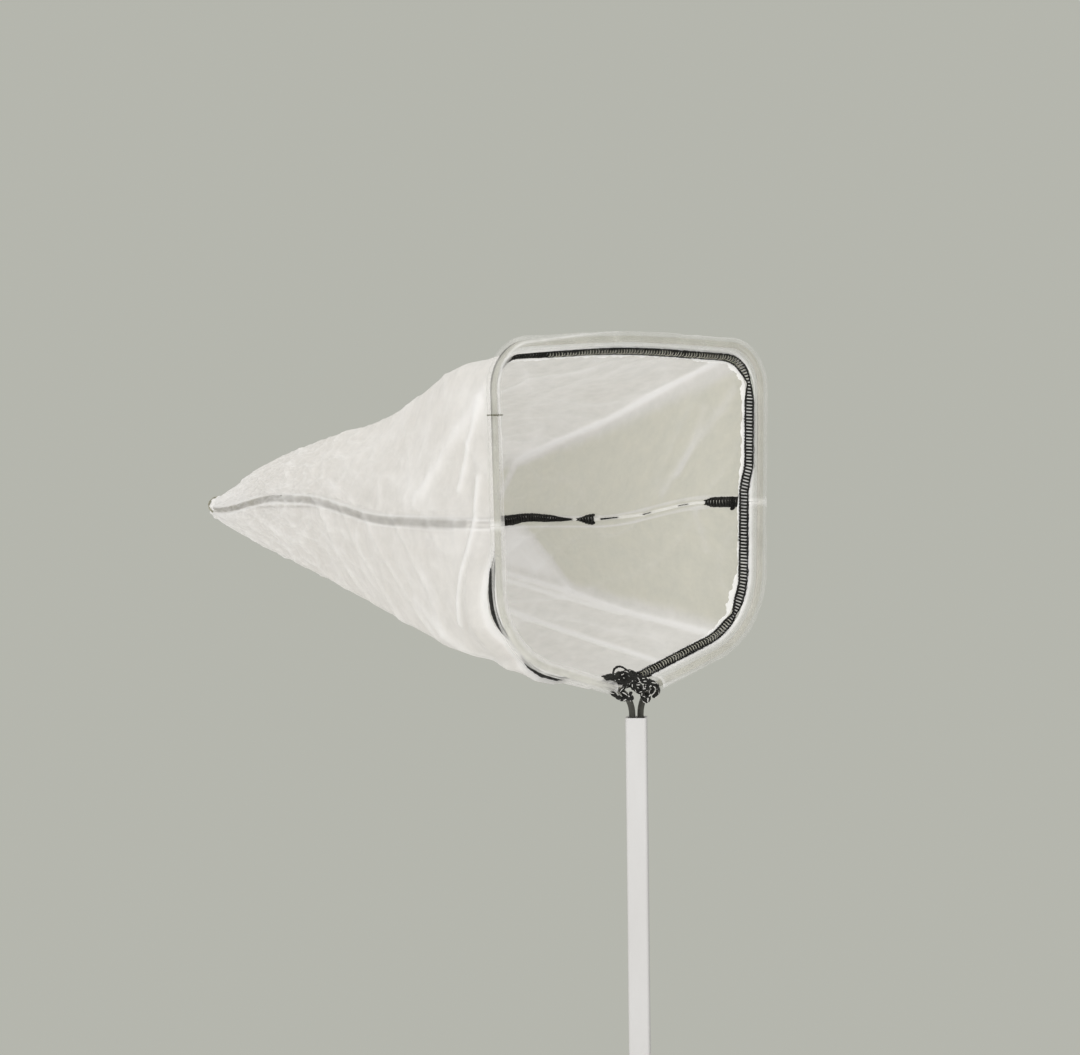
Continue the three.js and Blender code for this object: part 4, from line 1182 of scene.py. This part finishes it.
# %% Side seams
SIDE_START, SIDE_END, STATION_GAP = 0.004, BAG_LENGTH - 0.003, 0.002
SEAM_SINK, SIDE_SEAM_WIDTH, TAPE_WIDTHS = 0.0028, 0.006, (0.45, 1.2)
LEFT_WIDTHS = [0, 0.040, 0.0401, 0.12, 0.2, 0.532], [0, 0, 1.1, 1.1, 0.9, 0.75]
RIGHT_WIDTHS = [
    [0, 0.030, 0.037, 0.0371, 0.054, 0.0541, 0.062, 0.0621, 0.092, 0.0921, 0.099, 0.0991, 0.126, 0.1261,
     0.142, 0.1421, 0.150, 0.1501, 0.154, 0.158, 0.163, 0.167, 0.1671, 0.172, 0.1721, 0.178, 0.184,
     0.191, 0.198, 0.207, 0.217, 0.232, 0.33, 0.38, 0.532],
    [1.1, 1.1, 0.5, 0, 0, 0.08, 0.08, 0, 0, 0.06, 0.06, 0, 0, 0.12,
     0.2, 0, 0, 1.2, 1.1, 0.85, 0.5, 0.2, 0, 0, 0.17, 0.33, 0.5,
     0.66, 0.82, 0.88, 0.9, 1.15, 1.2, 0.3, 0.2]]
LEFT_LIFTS = [0], [0]
RIGHT_LIFTS = [[0, 0.10, 0.13, 0.17, 0.184, 0.198, 0.212, 0.222, 0.231, 0.26],
               [0, 0, 0.0025, 0.0023, 0.0025, 0.0038, 0.0046, 0.0042, 0.0024, 0]]


def side_seam(side, name, widths, lifts, tape_lift, seed, thread, **sizes):
    """A band down one side of the bag; widths and lifts are tables over the depth."""
    x, z = seam_point(side)[:2]
    points = np.array([[x, z + rise] for rise in (-STATION_GAP, 0, STATION_GAP)])
    depths = np.arange(SIDE_START, SIDE_END, SEAM_STEP)
    wall = bag_wall(points, np.tile([0.0, -side], (3, 1)), np.concatenate([[0], depths]), SEAM_SINK)[0][1:]
    upward = wall[:, 2] - wall[:, 0]
    folded_up = np.interp(depths, *lifts) / np.linalg.norm(upward, axis=1)
    middle = wall[:, 1] + upward * folded_up[:, None]
    along = tangents(middle)
    face = np.cross(along, upward) * -side
    face *= np.sign(face[:, :1] * -side)
    face /= np.linalg.norm(face, axis=1)[:, None]
    wide = np.interp(depths, *widths)
    strip = tape(f"{name}_seam_tape", middle, np.cross(along, face),
                 np.clip(wide, *TAPE_WIDTHS) * SIDE_SEAM_WIDTH, tape_lift, face, seed, body="both")
    stitches = stitched(f"{name}_seam_stitches", overlock, middle, face, thread, wide, Width=SIDE_SEAM_WIDTH,
                        Seed=seed, **sizes)
    settle(stitches, "seam_thread", f"{name}_seam_mouth", f"{name}_seam_toe", body="both")
    return strip, middle


left_tape, _ = side_seam(LEFT, "left", LEFT_WIDTHS, LEFT_LIFTS, 0.0012, 71, OLIVE_THREAD,
                         Pitch=0.0030, Thread=0.0005, Rise=0.0006, Link=0.0018)
right_tape, right_line = side_seam(RIGHT, "right", RIGHT_WIDTHS, RIGHT_LIFTS, -0.0009, 81, BLACK_THREAD,
                                   Pitch=0.0026)

# %% [markdown]
# ## The toe
# At the tip both panels are drawn together and turned over, which leaves a small pleated lip.

# %% Toe gather
TOE_STEPS, TOE_PLEATS, TOE_WIDE, TOE_TALL, TOE_DENSE = 96, 9, 0.86, 0.96, 0.34
TOE_PROFILE = [(0.0108, -0.001), (0.0116, 0.002), (0.0118, 0.005), (0.0112, 0.0078), (0.0098, 0.0094),
               (0.0080, 0.0088), (0.0066, 0.0066), (0.0048, 0.0052), (0.0026, 0.0048), (0.0006, 0.0050)]
toe_middle = np.array([-BAG_LEAN, BAG_FRONT + BAG_LENGTH, SEAM_LEVEL - BAG_DROP])


def toe_lip():
    angle = np.linspace(0, 2 * np.pi, TOE_STEPS, endpoint=False)
    rows = []
    for k, (reach, back) in enumerate(TOE_PROFILE):
        pleat = 1 + 0.05 * np.sin(angle * TOE_PLEATS + 0.8 * np.sin(angle * 2) + k * 0.12)
        rows.append(np.stack([toe_middle[0] + TOE_WIDE * reach * pleat * np.cos(angle),
                              toe_middle[1] + back + 0.0005 * np.sin(angle * TOE_PLEATS),
                              toe_middle[2] + TOE_TALL * reach * pleat * np.sin(angle)], axis=1))
    cloth("toe_lip", np.array(rows), TOE_DENSE, BAG_MESH, "bag_mesh", "toe_gather", body="bag_toe",
          closed=True)


toe_lip()

# %% [markdown]
# ## Neck tie and knot
# The overlock machine leaves a chain of loops at the end of a seam. Here those tails are wound round the
# two wires at the neck and tied. Each strand is a smooth line through a few places, and a second tree sets
# overlapping chain links along it, turned one after the other, with a pale link among the black ones.

# %% Chain tree
CHAIN_SIZES = {"Pitch": 0.0011, "Link": 0.0017, "Slim": 0.62, "Thread": 0.00055, "Turn": 1.25}


def chain_tree():
    tree, ids, given, seats = stitch_tree("chain_links", CHAIN_SIZES)
    loop = shifted(circle(9, given["Link"]), Scale=vector_of(1.0, given["Slim"], 1.0),
                   Rotation=(0.35, 0.3, 0.0))
    sway = random_vector((0.85, 0.8, 0.8), (1.15, 1.2, 1.2), given["Seed"])
    links = laid(seats, thread_tube(loop, given["Thread"], 5), sway)
    roll = vector_of(times(add("InputIndex", tree=tree), given["Turn"]))
    turned = add("RotateInstances", {"Instances": links, "Rotation": roll})
    close_tree([turned], given["Material"])
    return tree, ids


chain = chain_tree()
print("chain tree:", len(chain[0].nodes), "nodes")

# %% Strands of chain
STRAND_STEP, STRAND_SIDE = 0.0005, np.array([0.3, -0.9, 0.2])


def smooth_line(places):
    """A Catmull-Rom line through places, in even steps."""
    p = np.array(places, float)
    p = np.concatenate([[2 * p[0] - p[1]], p, [2 * p[-1] - p[-2]]])
    t = np.linspace(0, 1, 16, endpoint=False)[:, None]
    line = [0.5 * (2 * b + (c - a) * t + (2 * a - 5 * b + 4 * c - d) * t ** 2
                   + (3 * b - a - 3 * c + d) * t ** 3) for a, b, c, d in zip(p, p[1:], p[2:], p[3:])]
    return even(np.concatenate([*line, p[-2:-1]]), STRAND_STEP)


def strands(table):
    """Lines from places given in millimetres: right, forward of the wires, and up from the handle."""
    return [smooth_line([(x / 1000, -forward / 1000, HANDLE_TOP + up / 1000) for x, forward, up in places])
            for places in table]


def chain_piece(name, lines, material, seed, *stands_for, body="frame", **sizes):
    """One mesh of chain links along several lines."""
    made = []
    for k, line in enumerate(lines):
        face = np.cross(tangents(line), STRAND_SIDE)
        face /= np.linalg.norm(face, axis=1)[:, None]
        made.append(stitched(f"{name}_{k}", chain, line, face, material, Seed=seed + k, **sizes))
    first = made[0]
    if len(made) > 1:
        with bpy.context.temp_override(active_object=first, object=first, selected_editable_objects=made,
                                       selected_objects=made):
            bpy.ops.object.join()
    first.name = first.data.name = name
    settle(first, "seam_thread", *stands_for, body=body)


print("strands have a point every", STRAND_STEP, "m")

# %% Neck tie and knot
TIE_STRANDS = [
    [(-11.7, 7, 36.6), (-4.6, 7.5, 35), (3.9, 8, 32.2), (12.5, 8, 28.4), (18.2, 7, 24.2), (18.9, 6.5, 20.4),
     (15.9, 6, 17.5)],
    [(-9, 6, 35), (-2, 6, 32.5), (5, 7, 30), (11, 7, 27.5), (14.5, 6, 24), (13, 5.5, 21)],
    [(-12, 6, 30), (-9, 6.5, 26.4), (-3.3, 7, 22.7), (2.4, 7, 23.3), (7.4, 6, 25.1), (9.6, 5, 28.1),
     (12, 2, 28), (15, -3, 26), (12, -5, 22), (8, -1, 19), (8.8, 5, 18.6), (9.4, 5.5, 14.8)],
    [(-3, 5, 28), (-0.4, 6, 26.7), (1.6, 6, 21.3), (3.5, 4.5, 18), (6.5, 4.5, 14)],
    [(-13.9, 7, 30.4), (-18.9, 6.5, 27.7), (-20.3, 5, 24.1), (-16.9, 5.5, 19.6), (-12.7, 5, 17.1),
     (-8, 3, 17), (-7, -3, 19), (-12, -5, 21), (-17, -3, 23)],
    [(-32.3, 6, 23.4), (-28.8, 6, 21.1), (-23.9, 6, 18.6), (-19, 5.5, 17.1), (-14, 5, 18), (-11, 4.5, 21)],
]
KNOT_STRANDS = [
    [(-36, 7, 37.9), (-30.7, 7.5, 38), (-23.6, 8, 39.1), (-16.6, 8.5, 38.6), (-11.7, 8, 35.6), (-11, 7, 30),
     (-7, 6, 26.2)],
    [(-38, 6, 37.2), (-30, 6.5, 35.9), (-23, 7, 33.3), (-16.7, 8, 32.2), (-12, 9, 34), (-9, 8, 37),
     (-12, 6.5, 39.5), (-18, 6, 39.5)],
    [(-34, 6, 37.2), (-27, 7, 37), (-20, 8, 35.8), (-14, 8.5, 35.5), (-9, 8, 35)],
]
ARCH_STRANDS = [
    [(-31.6, 6.5, 40.2), (-29.9, 6.5, 43.8), (-24.3, 6.5, 45.2), (-18.7, 7, 42.9), (-14, 7, 38.5)],
    [(-43.5, 7, 38.5), (-38, 7, 37.9), (-31, 7, 37.6)],
]
tie_lines, knot_lines = strands(TIE_STRANDS), strands(KNOT_STRANDS)
chain_piece("neck_tie_chain", tie_lines, BLACK_THREAD, 91, "neck_tie", Link=0.0019, Thread=0.0010)
chain_piece("tie_knot_chain", knot_lines, BLACK_THREAD, 97, "tie_knot", Link=0.0024, Pitch=0.0009,
            Thread=0.0011)
chain_piece("tie_arch_thread", strands(ARCH_STRANDS), BLACK_THREAD, 101, Link=0.0011, Slim=0.5, Thread=0.0005)
chain_piece("tie_pale_thread", [*tie_lines, *knot_lines], WHITE_THREAD, 111, Link=0.0025, Pitch=0.0041,
            Slim=0.75, Thread=0.0004, Turn=2.1)

# %% Loose ends of the side seams, and a tack on the hem
TUFT = [(0, 0, 0), (-0.001, -0.001, -0.003), (-0.002, -0.001, -0.006), (0.001, -0.001, -0.004)]
CURL = [(-0.008, -0.004, -0.004), (-0.010, 0.003, -0.003), (-0.010, 0.008, 0.001), (-0.008, 0.010, 0.006),
        (-0.003, 0.009, 0.010), (0.002, 0.006, 0.011)]
TUFT_STATION = 6
TACK_MIDDLE, TACK_RADIUS = np.array([-0.1507, 0.0, 0.8575]), 0.0064
tack_turns = np.radians(np.linspace(170, 340, 12))
tack_ring = np.stack([np.cos(tack_turns), np.sin(tack_turns), 0 * tack_turns], axis=1)
chain_piece("right_seam_tuft", [smooth_line(right_line[TUFT_STATION] + np.array(TUFT))], BLACK_THREAD, 121,
            Link=0.0016)
chain_piece("left_seam_curl", [smooth_line(toe_middle + np.array(CURL))], GREY_OLIVE_THREAD, 131, body="bag_toe",
            Link=0.0011, Thread=0.0004)
chain_piece("hem_tack", [TACK_MIDDLE + TACK_RADIUS * tack_ring], OLIVE_THREAD, 141, Link=0.0005,
            Thread=0.0003)
